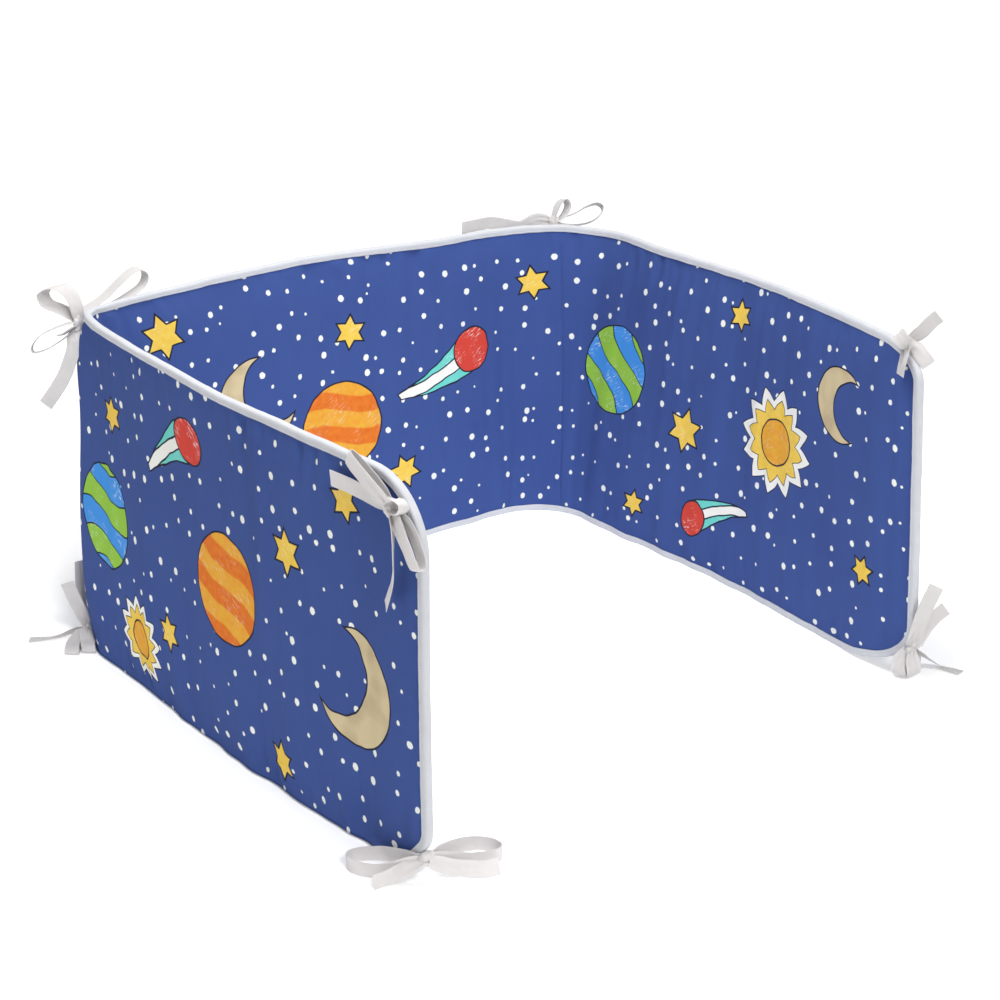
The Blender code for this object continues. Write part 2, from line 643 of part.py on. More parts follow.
def make_knot(name, tie, skin):
    """The knot, a small bevelled block; returns it and its middle."""
    point, out, edge = knot_seat(tie)
    size = Vector(tie.knot) / 1000
    middle = point + out * (tie.stand + size.z / 2)
    across = out.cross(edge)
    turn = Matrix((edge, across, out)).transposed().to_4x4()
    mesh = bmesh.new()
    bmesh.ops.create_cube(mesh, size=1.0)
    bmesh.ops.scale(mesh, vec=size, verts=mesh.verts)
    bmesh.ops.bevel(mesh, geom=mesh.edges, offset=KNOT_BEVEL, segments=2, affect="EDGES", profile=0.5)
    bmesh.ops.transform(mesh, matrix=Matrix.Translation(middle) @ turn, verts=mesh.verts)
    return finish_object(name, mesh, skin), middle


def make_tie(name, tie, strip, skin):
    """One tie: its knot, with every run of tape joined to it and held clear of the strip."""
    knot, middle = make_knot(name, tie, skin)
    for i, run in enumerate(tie.runs):
        tape = make_run(f"{name}_run_{i}", run, middle, strip, skin)
        tape.hide_render = True
        tape.display_type = "WIRE"
        join = knot.modifiers.new(f"run {i}", "BOOLEAN")
        join.operation = "UNION"
        join.solver = "EXACT"
        join.object = tape
    return knot


def main():
    for old in list(bpy.data.objects):
        bpy.data.objects.remove(old, do_unlink=True)
    pad = make_pad(material("printed_cloth", CLOTH_BLUE, 0.85))
    binding = make_binding(material("white_tape", TAPE_WHITE, 0.80))
    strip = [BVHTree.FromPolygons([v.co for v in piece.data.vertices],
                                  [face.vertices for face in piece.data.polygons])
             for piece in (pad, binding)]
    for name, tie in TIES.items():
        make_tie(name, tie, strip, material(name + "_tape", TIE_WHITE, 0.75))


main()
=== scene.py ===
"""Looks of the crib bumper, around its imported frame: the printed pad, its taped edge and its tape ties.

Metres, +Z up. A place on the strip is (s, z): s along it from end A at the front left, round bends
B and C, to end D at the front right, and z up from the floor. The plan of the strip and the routes of
the ties are those of the solids, so that each piece lies in the space that its solid holds.
"""
from collections import namedtuple
from functools import lru_cache
from math import copysign, cos, exp, hypot, pi, radians, sin, sqrt, tan

import bmesh
import bpy
from mathutils import Matrix, Vector, noise
from mathutils.bvhtree import BVHTree


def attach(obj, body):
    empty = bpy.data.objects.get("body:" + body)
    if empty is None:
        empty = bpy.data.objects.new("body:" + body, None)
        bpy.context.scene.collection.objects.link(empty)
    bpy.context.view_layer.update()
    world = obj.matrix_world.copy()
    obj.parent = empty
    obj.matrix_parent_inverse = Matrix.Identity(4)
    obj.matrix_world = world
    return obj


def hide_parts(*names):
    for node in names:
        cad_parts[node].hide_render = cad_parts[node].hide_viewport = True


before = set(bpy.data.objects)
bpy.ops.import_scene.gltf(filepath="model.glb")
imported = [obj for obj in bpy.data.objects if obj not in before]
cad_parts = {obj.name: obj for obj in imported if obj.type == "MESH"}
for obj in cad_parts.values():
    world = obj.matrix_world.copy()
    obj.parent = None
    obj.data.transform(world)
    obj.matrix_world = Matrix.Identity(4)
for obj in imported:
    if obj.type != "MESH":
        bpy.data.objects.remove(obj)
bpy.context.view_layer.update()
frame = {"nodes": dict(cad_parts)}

# ---- camera
CAMERA_PLACE = (-1.3349, -1.7117, 1.0408)
CAMERA_HEADING = 51.83  # degrees from +X
CAMERA_PITCH = 21.31  # degrees down
CAMERA_LENS = 74.855  # mm, on a sensor 36 mm wide

# ---- the strip, as in the solids
HEIGHT = 0.400
PANELS = (0.700, 0.720, 0.700)  # left, back and right, between the corners' crossing lines
HEADINGS = (90.3, 0.0, -93.7)  # of the panels in plan, degrees from +X
BACK_LEFT = (-0.3525, 0.346)  # where the left and back panels' lines cross, at the floor
LEAN = ((-0.002, -0.003), (0.043, 0.003), (0.023, -0.017), (-0.020, 0.008))  # of each corner
BEND_B = (0.072, 0.028)  # radius at the floor and higher up
BEND_B_FADE = 4  # how soon the floor's radius gives way to the other
BEND_C = (0.081, 0.119)  # radius at the floor and at the top
BOW_LOW = (0.009, 0.005, 0.015)  # outward bow of each panel, at the floor and at the top
BOW_TOP = (0.013, 0.020, 0.014)
TOP_RISE = (0.000, 0.0025, 0.001)  # of the upper edge in the middle of each panel
PULL_B = (-0.029, -0.016)  # the tie pulls the whole corner
PULL_FROM = 0.60  # from this share of the height up
PINCH_B = (0.014, -0.014)  # and gathers the bend alone
PINCH_RADIUS = 0.018
PINCH_REACH = 0.050  # along the strip
PINCH_FROM = 0.78
WAVES = ((0.170, 0.0010, 0.4), (0.290, 0.0010, 1.9))  # wave length, height, start
Corner = namedtuple("Corner", "along up")
CORNER = {
    "A_low": Corner(0.130, 0.055),
    "A_top": Corner(0.075, 0.070),
    "D_low": Corner(0.130, 0.075),
    "D_top": Corner(0.075, 0.042),
}
EDGE_HALF = 0.0030  # half the pad's thickness inside the binding
CROWN_HALF = 0.0080  # and at its crown
SWELL_FROM = 0.009  # the swell starts this far in from the edge
SWELL = 0.060  # and reaches the crown this far on
BAND = 0.0085  # depth of the binding on each face
LOW_BAND_OUT = 0.0011  # and along the lower edge of the outer face
BAND_OUT = 0.0043  # the binding's face, from the strip's middle
TOP_UNEVEN, TOP_WAVE = 0.0010, 0.060  # the upper edge's height goes up and down, over this length
LOW_UNEVEN, LOW_WAVE = 0.0028, 0.035  # and the lower edge's line on the floor in and out
LOW_WAVE_UP = 0.3  # the waves of the lower edge change this slowly up the cloth
CALM = 0.08  # both fade this near to an end, and the lower one also at a tie
TOP_SEED, LOW_SEED = 83, 91
NOISE_GAIN, OFF_LATTICE = 1.4, (0.31, 0.57)
KNOT_GAP = 0.0003
KNOT_SEAT = BAND_OUT + KNOT_GAP

# ---- fine mesh of the strip
STEP = 0.0044  # columns and rows are about this far apart
END_STEPS = 24  # columns in the rounded stretch at each end
TUCKED = 0.0030  # the pad's own edge lies this far inside the outline
TUCKED_LOW = 0.0012  # and along the lower edge, where the outer leg is narrow
CREASE_LOW, CREASE_TOP = 1.402, 1.368  # where the crease at bend C meets the lower and upper edges
CREASE_DEEP = 0.0017
CREASE_HALF = 0.0017
CREASE_DRAW = 0.62  # columns are drawn towards the crease by this share of their distance
CREASE_DRAW_HALF = 0.05  # where they lie within about this far
SHALLOWEST = 1e-4  # least depth in from the outline
END_FADE = 0.02  # puckers follow the upright ends this near to them
Ripple = namedtuple("Ripple", "long_s long_z height seed")
FOLDS = (Ripple(0.048, 0.45, 0.0020, 3.1), Ripple(0.017, 0.24, 0.0012, 8.7), Ripple(0.16, 0.20, 0.0014, 5.2))
FOLDS_FROM = 0.02  # folds and crease reach their full height this far in from the binding
PUCKER_LONG = 0.0105  # along the edge
PUCKER_DEEP = 0.09  # across it
PUCKER_REACH = 0.030  # in from the binding
PUCKER_FROM = 0.006  # they have their full height this far in
PUCKER_HEIGHT = 0.0044
PATCH_LONG, PATCH_HIGH = 0.09, 0.2  # patches where the puckers are stronger or weaker
PATCH_USUAL, PATCH_LEAST, PATCH_MOST = 0.45, 0.10, 1.2
EDGE_SEED, END_SEED, PATCH_SEED = 20, 30, 41

# ---- ties, as in the solids
TIE_WIDTH = 0.016
TIE_THICK = 0.0009
TIE_PINCH = 0.55  # the tape's width inside its knot, as a share of the full width
TIE_SPREAD = 0.014  # it is at full width this far out of the knot
TIE_CLEAR = 0.0010  # and keeps this far from the pad and the binding
CLEARING_ROUNDS = 4
INSIDE = -0.5  # a point is inside where the surface faces away from it by this cosine
LEAST_LEVEL = 0.2  # the tape is moved level, off surfaces that are upright enough
KNOT_REACH = 0.012  # a run that ends this near the knot's middle is a loop
VIEW_TURN = -38.2  # routes run across, up and near, as seen from the open front corner
Run = namedtuple("Run", "route at_knot far_off", defaults=(None,))  # far_off only where it differs
Tie = namedtuple("Tie", "place stand knot runs")  # the knot's size and the routes are in millimetres
UPRIGHT = (0.0, 1.0, 0.1)
ACROSS = (1.0, 0.0, 0.1)
NEAR = (0.0, 0.1, 1.0)
ON_LEFT_FACE = (0.32, 0.86, 0.41)

TIES = {
    "tie_a_top": Tie(("face", "A", 0.040, 0.371), 0.0057, (15, 17, 9), (
        # square tail to the left, along the outer face
        Run(((0, 1, 0), (-19, 2, -22), (-36, 3, -42), (-58, 2, -69)), UPRIGHT),
        # broad loop up to the top edge and back
        Run(((-1, 1, 3), (-14, 12, -8), (-26, 21, -23), (-36, 28.5, -36), (-39, 31.5, -41),
             (-39.5, 32.5, -43.5), (-38, 32.5, -44.5), (-34, 30.5, -42), (-28, 27, -35.5),
             (-19, 20.5, -25), (-8, 13, -10), (1, 3, -1)),
            ON_LEFT_FACE),
        # small tuck towards the binding
        Run(((0, 4, 5), (2, 11, 14), (7, 16, 22), (12, 13, 26), (12, 6, 24), (7, 1, 18), (2, 0, 7)),
            (-0.7, 0.2, 0.7), (-0.5, 0.2, 0.85)),
        # loop hanging down towards the end
        Run(((1, -2, 3), (9, -15, 22), (16, -28, 34), (20, -37, 40), (23, -42, 42), (27, -42, 40),
             (28, -36, 38), (25, -26, 33), (18, -12, 22), (4, -1, 1)), (0.54, 0.3, 0.75)),
        # thin tail hanging straight down
        Run(((0, -3, 1), (2, -20, 11), (2, -41, 14), (1, -65, 12), (-6, -93, 4)), (-0.2, 0, 1), (0.2, 0, 1)),
    )),
    "tie_b_top": Tie(("face", "B", 0.0, 0.383), 0.0072, (11, 19, 9), (
        # upper left loop
        Run(((1, 4, 1), (0, 19, 2), (-5, 33, 2), (-14, 42, 2), (-28, 41, 1), (-37, 33, -1),
             (-33, 22, -3), (-20, 16, -3), (-7, 9, -3), (-1, 2, -2)), (0.75, 0.1, -0.65)),
        # right loop, along the back panel's outer side
        Run(((-1, 5, -3), (-3, 7, -14), (3, 9, -27), (11, 12, -35), (22, 18, -46), (33, 28, -54),
             (47, 40, -63), (57, 44, -71), (64, 37, -76), (61, 25, -74), (49, 16, -66), (35, 9, -56),
             (22, 4, -45), (10, 1, -33), (0, -1, -18), (-1, -3, -3)), (-0.62, 0.05, -0.78)),
        # thin lower left loop
        Run(((-1, 1, 2), (-7, 1, 3), (-20, -2, 4), (-41, -12, 4), (-52, -24, 4), (-51, -33, 3),
             (-36, -29, 3), (-18, -18, 3), (-6, -8, 2), (0, -4, 1)), (0.1, 0.2, 1.0)),
        # broad tail hanging down
        Run(((0, -5, 2), (-2, -16, 9), (-7, -32, 12), (-18, -58, 12), (-31, -78, 11), (-42, -93, 8)),
            (1, 0, 0.3), (0.85, -0.5, 0.1)),
        # short thin tail
        Run(((-1, -2, 3), (-7, -4, 9), (-15, -9, 10), (-21, -11, 10)), (0, 0.3, 1)),
    )),
    "tie_c_top": Tie(("face", "C", -0.012, 0.402), KNOT_SEAT, (13, 12, 9), (
        # small loop standing up
        Run(((-2, 2, 0), (0, 11, -2), (5, 23, -3), (12, 29, -4), (17, 21, -4), (13, 10, -3), (4, 1, 1)),
            (0.5, 0.2, 0.85)),
        # right loop
        Run(((3, 2, -3), (26, 10, -5), (40, 18, -6), (54, 22, -7), (62, 16, -7), (57, 6, -6),
             (44, -2, -5), (26, -5, -5), (4, -3, -2)), (0.1, 0.3, 0.95), (0.1, 0.5, 0.85)),
        # long tail behind the back panel's edge
        Run(((-1, 0, -1), (-13, 3, -1), (-26, 3, 0), (-44, -5, 5), (-63, -1, 12), (-80, 4, 22),
             (-93, 5, 32), (-118, 4, 50)), UPRIGHT),
    )),
    "tie_d_top": Tie(("rim", "D_top", 53.0), KNOT_GAP, (20, 17, 11), (
        # tail up to the right
        Run(((1, 1, 0), (9, 7, 1), (16, 13, 2), (23, 22, 3), (32, 30, 3)), (-0.6, 0.8, 0.1)),
        # tail down to the right
        Run(((2, -1, 1), (9, -4, 9), (15, -11, 14), (22, -20, 17)), (0.75, 0.65, 0)),
        # short tail down to the left
        Run(((-1, -2, 5), (-4, -12, 13), (-6, -22, 14), (-7, -32, 14)), (0.3, 0, 0.95)),
        # flat loop over the knot and the binding
        Run(((1, 0, 2), (-5, 5, 6), (-10, 10, 8), (-13, 12, 10), (-13, 12, 13), (-10, 10, 15),
             (-5, 5, 15), (1, 0, 9)), (0.68, 0.73, 0.0)),
    )),
    "tie_a_low": Tie(("rim", "A_low", 24.0), KNOT_GAP, (14, 14, 10), (
        # left loop, on its edge on the floor
        Run(((-2, -2, 0), (-11, -5, -3), (-26, -12, -21), (-45, -18, -36), (-64, -20, -38), (-74, -20, -33),
             (-77, -20, -26), (-72, -20, -17), (-60, -20, -10), (-43, -19, -6), (-26, -13, -3),
             (-2, -1, 3)), UPRIGHT),
        # right loop
        Run(((1, 1, -2), (6, -1, -5), (20, -8, -28), (34, -15, -47), (48, -19, -56), (62, -20, -54),
             (70, -20, -45), (67, -20, -36), (54, -20, -30), (37, -18, -24), (20, -11, -13), (3, -1, 1)),
            UPRIGHT),
        # tail towards the front
        Run(((-2, -2, 4), (-20, -13, 3), (-33, -19, 4), (-49, -21, 12)), (0.3, 0.9, -0.3), (0.4, 0.85, -0.3)),
        # tail to the right
        Run(((3, -3, 3), (20, -14, -6), (37, -19, -10), (54, -21, -12), (68, -21, -18)), UPRIGHT,
            (0, 0.8, -0.6)),
    )),
    "tie_b_low": Tie(("face", "B", 0.0, 0.013), 0.0052, (13, 16, 11), (
        # two loops lying to the front
        Run(((-2.6, 0.4, 3.4), (-9, -0.4, 16), (-14, -3.5, 32), (-13.5, -4.4, 45), (-13, -6.6, 50),
             (-13, -9.4, 51), (-13, -12, 47), (-13.5, -12, 32), (-10, -11, 16), (-3.4, -5.2, 3.6)),
            ACROSS),
        Run(((-1, 2.5, 4), (-1, 2, 18), (2, -2, 32), (4.5, -3, 43), (5.5, -5.5, 47), (5.5, -8.5, 48),
             (5.5, -11.4, 44), (3, -11.5, 32), (-1, -9.5, 15), (-1, -3, 3)), ACROSS),
        # tail lying away to the left
        Run(((-4, -2, -1), (-20, -4, 1), (-36, -9, 5), (-54, -12, 8), (-71, -12, 10)), (0, 0.8, 0.5), NEAR),
        # two tails standing up against the bend
        Run(((-2, 1, -3), (-8, 14, -11), (-10, 46, -15), (-9, 78, -16)), (0.8, 0, -0.6)),
        Run(((-2, 2, 2), (-9, 22, 5), (-16, 42, 7), (-22, 60, 7)), (1, 0.1, 0), (0.94, 0.35, 0)),
    )),
    "tie_c_low": Tie(("face", "C", 0.0, 0.016), 0.0041, (12, 14, 9), (
        # two loops and a tail, lying behind the bend
        Run(((-2, 1, 1), (-14, -3, -3), (-30, -7, -12), (-42, -8, -22), (-46, -8, -31), (-38, -8, -33),
             (-24, -7, -25), (-11, -4, -13), (-2, 0, -3)), UPRIGHT),
        Run(((2, 1, 1), (14, -3, -5), (30, -7, -18), (40, -8, -30), (41, -8, -39), (33, -8, -39),
             (22, -7, -29), (11, -4, -15), (2, 0, -3)), UPRIGHT),
        Run(((0, -3, -2), (-3, -14, -20), (-5, -15.3, -36), (-9, -15.3, -50)), ACROSS),
    )),
    "tie_d_low": Tie(("rim", "D_low", 22.0), KNOT_GAP, (13, 12, 8), (
        # two tails standing up to the right
        Run(((0, 1, 1), (2, 15, 10), (4, 36, 16), (10, 60, 18), (19, 84, 18)), (1, 0, 0.2)),
        Run(((0, 1, 2), (4, 11, 9), (10, 29, 14), (21, 45, 14), (33, 55, 12)), (0.9, -0.3, 0),
            (0.78, -0.62, 0)),
        # tail down to the floor on the right
        Run(((1, -1, -1), (9, -9, -12), (21, -21, -26), (40, -38, -41), (54, -43, -36), (66, -44, -28)),
            (0.2, 0.6, 0.8), NEAR),
        # two loops hanging down to the floor
        Run(((-3, 2, 1), (-10, -8, 1), (-11, -25, -6), (-8, -38, -15), (-7, -42.5, -22), (-5, -38, -28),
             (-2, -22, -19), (1, -1, -3)), (1, 0.10, 0), (1, -0.62, 0)),
        Run(((1, 1, 2), (2, -8, 3), (6, -24, -4), (9, -38, -13), (10, -42.5, -20), (10, -38, -26),
             (8, -22, -16), (4, -1, -2)), (1, -0.10, 0), (1, 0.62, 0)),
    )),
}

# ---- the print
Motif = namedtuple("Motif", "kind s z radius turn")
STAR, BANDED, STRIPED, MOON, COMET, SUN = 1, 2, 3, 4, 5, 6


def motifs(groups):
    """The print's motifs, from each kind's places as (s, z, radius, turn in degrees)."""
    return [Motif(kind, *place) for kind, places in groups.items() for place in places]


INNER_PRINT = motifs({
    STAR: ((0.805, 0.345, 0.029, 35), (1.070, 0.298, 0.023, 24), (1.340, 0.325, 0.023, 38),
           (1.700, 0.350, 0.020, 40), (1.625, 0.182, 0.030, 24), (1.550, 0.058, 0.019, 30),
           (1.960, 0.115, 0.019, 16), (1.140, 0.100, 0.024, 46), (0.560, 0.330, 0.022, 20),
           (0.300, 0.120, 0.022, 50), (0.110, 0.300, 0.020, 10), (0.900, 0.120, 0.020, 33)),
    BANDED: ((1.052, 0.178, 0.058, 0), (0.430, 0.190, 0.046, 30)),
    STRIPED: ((1.480, 0.225, 0.060, 12), (0.200, 0.215, 0.048, 0)),
    MOON: ((0.930, 0.235, 0.056, 20), (1.910, 0.298, 0.044, -18)),
    COMET: ((1.205, 0.230, 0.076, 26), (1.690, 0.085, 0.062, 205)),
    SUN: ((0.690, 0.215, 0.062, 0), (1.790, 0.215, 0.068, 10)),
})
OUTER_PRINT = motifs({
    STAR: ((0.120, 0.352, 0.022, 14), (0.215, 0.270, 0.025, 26), (0.470, 0.095, 0.021, 22),
           (0.240, 0.040, 0.022, 33), (0.600, 0.300, 0.022, 33), (0.860, 0.240, 0.024, 18),
           (1.140, 0.120, 0.022, 2), (1.330, 0.300, 0.022, 28), (1.620, 0.080, 0.024, 44),
           (1.900, 0.290, 0.022, 9)),
    BANDED: ((0.335, 0.190, 0.058, 24), (1.230, 0.210, 0.050, 60)),
    STRIPED: ((0.620, 0.178, 0.058, 62), (1.760, 0.190, 0.054, 100)),
    MOON: ((0.112, 0.165, 0.060, 12), (1.000, 0.270, 0.048, 0)),
    COMET: ((0.440, 0.306, 0.072, 152), (0.790, 0.110, 0.056, 30), (1.960, 0.140, 0.054, 200)),
    SUN: ((0.545, 0.062, 0.048, 8), (1.470, 0.200, 0.058, 20)),
})
MOTIF_REACH = 1.25  # a motif stays within this many radii
PRINT_MARGIN = 0.012  # outside this far from a motif the cloth carries dots alone
INNER_UV = 0.7  # the inner face's cloth lies this far up from the outer's in the print
DOT_PITCH = 0.0305  # about one dot in each such square


# ---- plan of the strip
def mix(low, high, share):
    return low + (high - low) * share


def clamp(value, low=0.0, high=1.0):
    return min(max(value, low), high)


def along(heading):
    return Vector((cos(radians(heading)), sin(radians(heading))))


def left_of(direction):
    return Vector((-direction.y, direction.x))


def top_share(share, start):
    return max(0.0, (share - start) / (1.0 - start)) ** 2


def plan_corners(share):
    b = Vector(BACK_LEFT)
    c = b + PANELS[1] * along(HEADINGS[1])
    corners = [b - PANELS[0] * along(HEADINGS[0]), b, c, c + PANELS[2] * along(HEADINGS[2])]
    leaned = [corner + share * Vector(lean) for corner, lean in zip(corners, LEAN)]
    leaned[1] += Vector(PULL_B) * top_share(share, PULL_FROM)
    return leaned


def bowed(start, end, bow):
    run = end - start
    out = left_of(run.normalized())

    def at(share):
        point = start + run * share + out * bow * sin(pi * share) ** 2
        slope = run + out * bow * pi * sin(2 * pi * share)
        return point, slope.normalized()
    return at


def bend(before, corner, after, radius):
    back = (before - corner).normalized()
    ahead = (after - corner).normalized()
    half = back.angle(ahead) / 2
    centre = corner + (back + ahead).normalized() * radius / sin(half)
    start = corner + back * radius / tan(half)
    end = corner + ahead * radius / tan(half)
    sweep = pi - 2 * half
    first = start - centre

    def at(share):
        arm = Matrix.Rotation(-sweep * share, 2) @ first
        return centre + arm, Vector((arm.y, -arm.x)).normalized()
    return start, end, radius * sweep, at


@lru_cache(maxsize=None)
def plan_stretches(share):
    """The plan at a share of the height: left, bend B, back, bend C, right, as (length, curve)."""
    a, b, c, d = plan_corners(share)
    radius = mix(BEND_B[1], BEND_B[0], (1 - share) ** BEND_B_FADE)
    radius = mix(radius, PINCH_RADIUS, top_share(share, PINCH_FROM))
    b_start, b_end, b_length, b_curve = bend(a, b, c, radius)
    c_start, c_end, c_length, c_curve = bend(b, c, d, mix(BEND_C[0], BEND_C[1], share))
    bows = [mix(low, top, share) for low, top in zip(BOW_LOW, BOW_TOP)]
    return (
        ((b_start - a).length, bowed(a, b_start, bows[0])),
        (b_length, b_curve),
        ((c_start - b_end).length, bowed(b_end, c_start, bows[1])),
        (c_length, c_curve),
        ((d - c_end).length, bowed(c_end, d, bows[2])),
    )


def stretch_marks():
    marks = [0.0]
    for length, _ in plan_stretches(0.5):
        marks.append(marks[-1] + length)
    return marks


MARKS = stretch_marks()
LENGTH = MARKS[-1]
BEND_MIDDLE = {"A": 0.0, "B": (MARKS[1] + MARKS[2]) / 2, "C": (MARKS[3] + MARKS[4]) / 2}


def on_strip(s, z, out=0.0):
    """The point at (s, z), out from the strip's middle towards the U's outside, and that direction."""
    share = clamp(z / HEIGHT)
    index = next(i for i in range(5) if s <= MARKS[i + 1] or i == 4)
    reach = (s - MARKS[index]) / (MARKS[index + 1] - MARKS[index])
    point, direction = plan_stretches(round(share, 6))[index][1](reach)
    near_b = exp(-((s - BEND_MIDDLE["B"]) / PINCH_REACH) ** 2)
    point = point + Vector(PINCH_B) * near_b * top_share(share, PINCH_FROM)
    wave = sum(high * sin(2 * pi * s / long + start) for long, high, start in WAVES)
    normal = left_of(direction)
    point = point + normal * (out + wave * sin(pi * share))
    rise = 0.0
    if index % 2 == 0:
        rise = TOP_RISE[index // 2] * share * sin(pi * clamp(reach)) ** 2
    return Vector((point.x, point.y, z + rise)), Vector((normal.x, normal.y, 0.0))


def rough(x, y, seed):
    """Smooth noise from about -1 to 1, read off the lattice where it is always 0."""
    return NOISE_GAIN * noise.noise(Vector((x, y + OFF_LATTICE[0], seed + OFF_LATTICE[1])))


def on_cloth(s, z, out=0.0):
    """As on_strip, with the lower edge's own soft waves between the ties."""
    free = min(abs(s - place) for place in (0.0, BEND_MIDDLE["B"], BEND_MIDDLE["C"], LENGTH))
    wave = LOW_UNEVEN * rough(s / LOW_WAVE, z / LOW_WAVE_UP, LOW_SEED) * clamp(free / CALM)
    return on_strip(s, z, out + wave * (1 - clamp(z / HEIGHT)) ** 3)


def corner_drop(corner, distance):
    """How far a rounded corner's line lies in from the long edge, at a distance from the end."""
    if distance >= corner.along:
        return 0.0
    return corner.up * (1 - sqrt(max(0.0, 1 - (1 - distance / corner.along) ** 2)))


def edge_level(s, level):
    """The height of the strip's lower or upper edge at s; level is low or top."""
    drop = corner_drop(CORNER["A_" + level], s) + corner_drop(CORNER["D_" + level], LENGTH - s)
    if level == "low":
        return drop
    return HEIGHT - drop + TOP_UNEVEN * rough(s / TOP_WAVE, 0, TOP_SEED) * clamp(min(s, LENGTH - s) / CALM)


def end_reach(corner, distance):
    """How far a rounded corner's line lies in from the end, at a distance from the long edge."""
    return corner_drop(Corner(corner.up, corner.along), distance)


def depth_in(s, z):
    """About how far a place lies in from the strip's outline, and how near it is to an upright end."""
    low = z - edge_level(s, "low")
    top = edge_level(s, "top") - z
    start = s - end_reach(CORNER["A_low"], z) - end_reach(CORNER["A_top"], HEIGHT - z)
    end = LENGTH - s - end_reach(CORNER["D_low"], z) - end_reach(CORNER["D_top"], HEIGHT - z)
    reaches = [max(reach, SHALLOWEST) for reach in (low, top, start, end)]
    depth = sum(reach ** -2 for reach in reaches) ** -0.5
    upright = exp(-min(reaches[2:]) / END_FADE)
    return depth, upright


# ---- meshes
def add_object(name, data, place=(0, 0, 0), aim=None):
    """An object at a place; a camera or a lamp looks along aim."""
    made = bpy.data.objects.new(name, data)
    made.location = place
    if aim is not None:
        made.rotation_euler = Vector(aim).to_track_quat("-Z", "Y").to_euler()
    bpy.context.scene.collection.objects.link(made)
    return made


def finish_piece(name, mesh, *skins):
    data = bpy.data.meshes.new(name)
    mesh.to_mesh(data)
    mesh.free()
    data.shade_smooth()
    for skin in skins:
        data.materials.append(skin)
    return add_object(name, data)


def line_lengths(points):
    """The length along a line, at each of its points."""
    lengths = [0.0]
    for start, stop in zip(points, points[1:]):
        lengths.append(lengths[-1] + (stop - start).length)
    return lengths


def join_rings(mesh, uv, here, there, along_tape, across):
    """Faces between two rings, which close where across has one place more than they have vertices."""
    for k in range(len(across) - 1):
        m = (k + 1) % len(here)
        face = mesh.faces.new((here[k], here[m], there[m], there[k]))
        for loop, (u, v) in zip(face.loops, ((0, k), (0, k + 1), (1, k + 1), (1, k))):
            loop[uv].uv = (along_tape[u], across[v])


def column_places():
    """The s of the fine mesh's columns, close together at the ends."""
    reach = CORNER["A_low"].along
    ends = [reach * (1 - cos(pi / 2 * i / END_STEPS)) for i in range(END_STEPS)]
    count = round((LENGTH - 2 * reach) / STEP)
    middle = [mix(reach, LENGTH - reach, i / count) for i in range(count + 1)]
    return ends + middle + [LENGTH - s for s in reversed(ends)]


def crease_shift(s, z):
    """Draws the columns near bend C together round the crease."""
    line = mix(CREASE_LOW, CREASE_TOP, z / HEIGHT)
    return -CREASE_DRAW * (s - line) * exp(-((s - line) / CREASE_DRAW_HALF) ** 4)


COLUMNS = column_places()
ROWS = round(HEIGHT / STEP)


def pad_half(depth):
    swell = clamp((depth - SWELL_FROM) / SWELL)
    return mix(EDGE_HALF, CROWN_HALF, sin(swell * pi / 2))


def pad_relief(s, z, side):
    """How far the cloth stands out of the pad's plain swell: soft upright folds, puckers, a crease."""
    depth, upright = depth_in(s, z)
    inner = clamp((depth - BAND) / FOLDS_FROM)
    relief = sum(f.height * rough(s / f.long_s, z / f.long_z, f.seed + side) for f in FOLDS) * inner
    fade = exp(-max(depth - BAND, 0.0) / PUCKER_REACH)
    by_edge = rough(s / PUCKER_LONG, z / PUCKER_DEEP, EDGE_SEED + side)
    by_end = rough(z / PUCKER_LONG, s / PUCKER_DEEP, END_SEED + side)
    patch = PATCH_USUAL + rough(s / PATCH_LONG, z / PATCH_HIGH, PATCH_SEED + side)
    strength = PUCKER_HEIGHT * clamp(patch, PATCH_LEAST, PATCH_MOST) * clamp((depth - BAND) / PUCKER_FROM)
    relief += strength * fade * mix(by_edge, by_end, upright)
    line = mix(CREASE_LOW, CREASE_TOP, z / HEIGHT)
    if side < 0:
        relief -= CREASE_DEEP * exp(-((s - line) / CREASE_HALF) ** 2) * inner
    return relief


def pad_place(column, row):
    """The (s, z) of a place in the fine mesh."""
    s = TUCKED + COLUMNS[column] * (1 - 2 * TUCKED / LENGTH)
    low = edge_level(s, "low") + TUCKED_LOW
    top = edge_level(s, "top") - TUCKED
    z = mix(low, top, row / ROWS)
    return s + crease_shift(s, z), z


def near_motif(s, z, motifs):
    """The motif that a place is nearest to, or None where none is near."""
    nearest = min(motifs, key=lambda m: hypot(s - m.s, z - m.z) - m.radius)
    gap = hypot(s - nearest.s, z - nearest.z) - nearest.radius * MOTIF_REACH
    return nearest if gap < PRINT_MARGIN else None


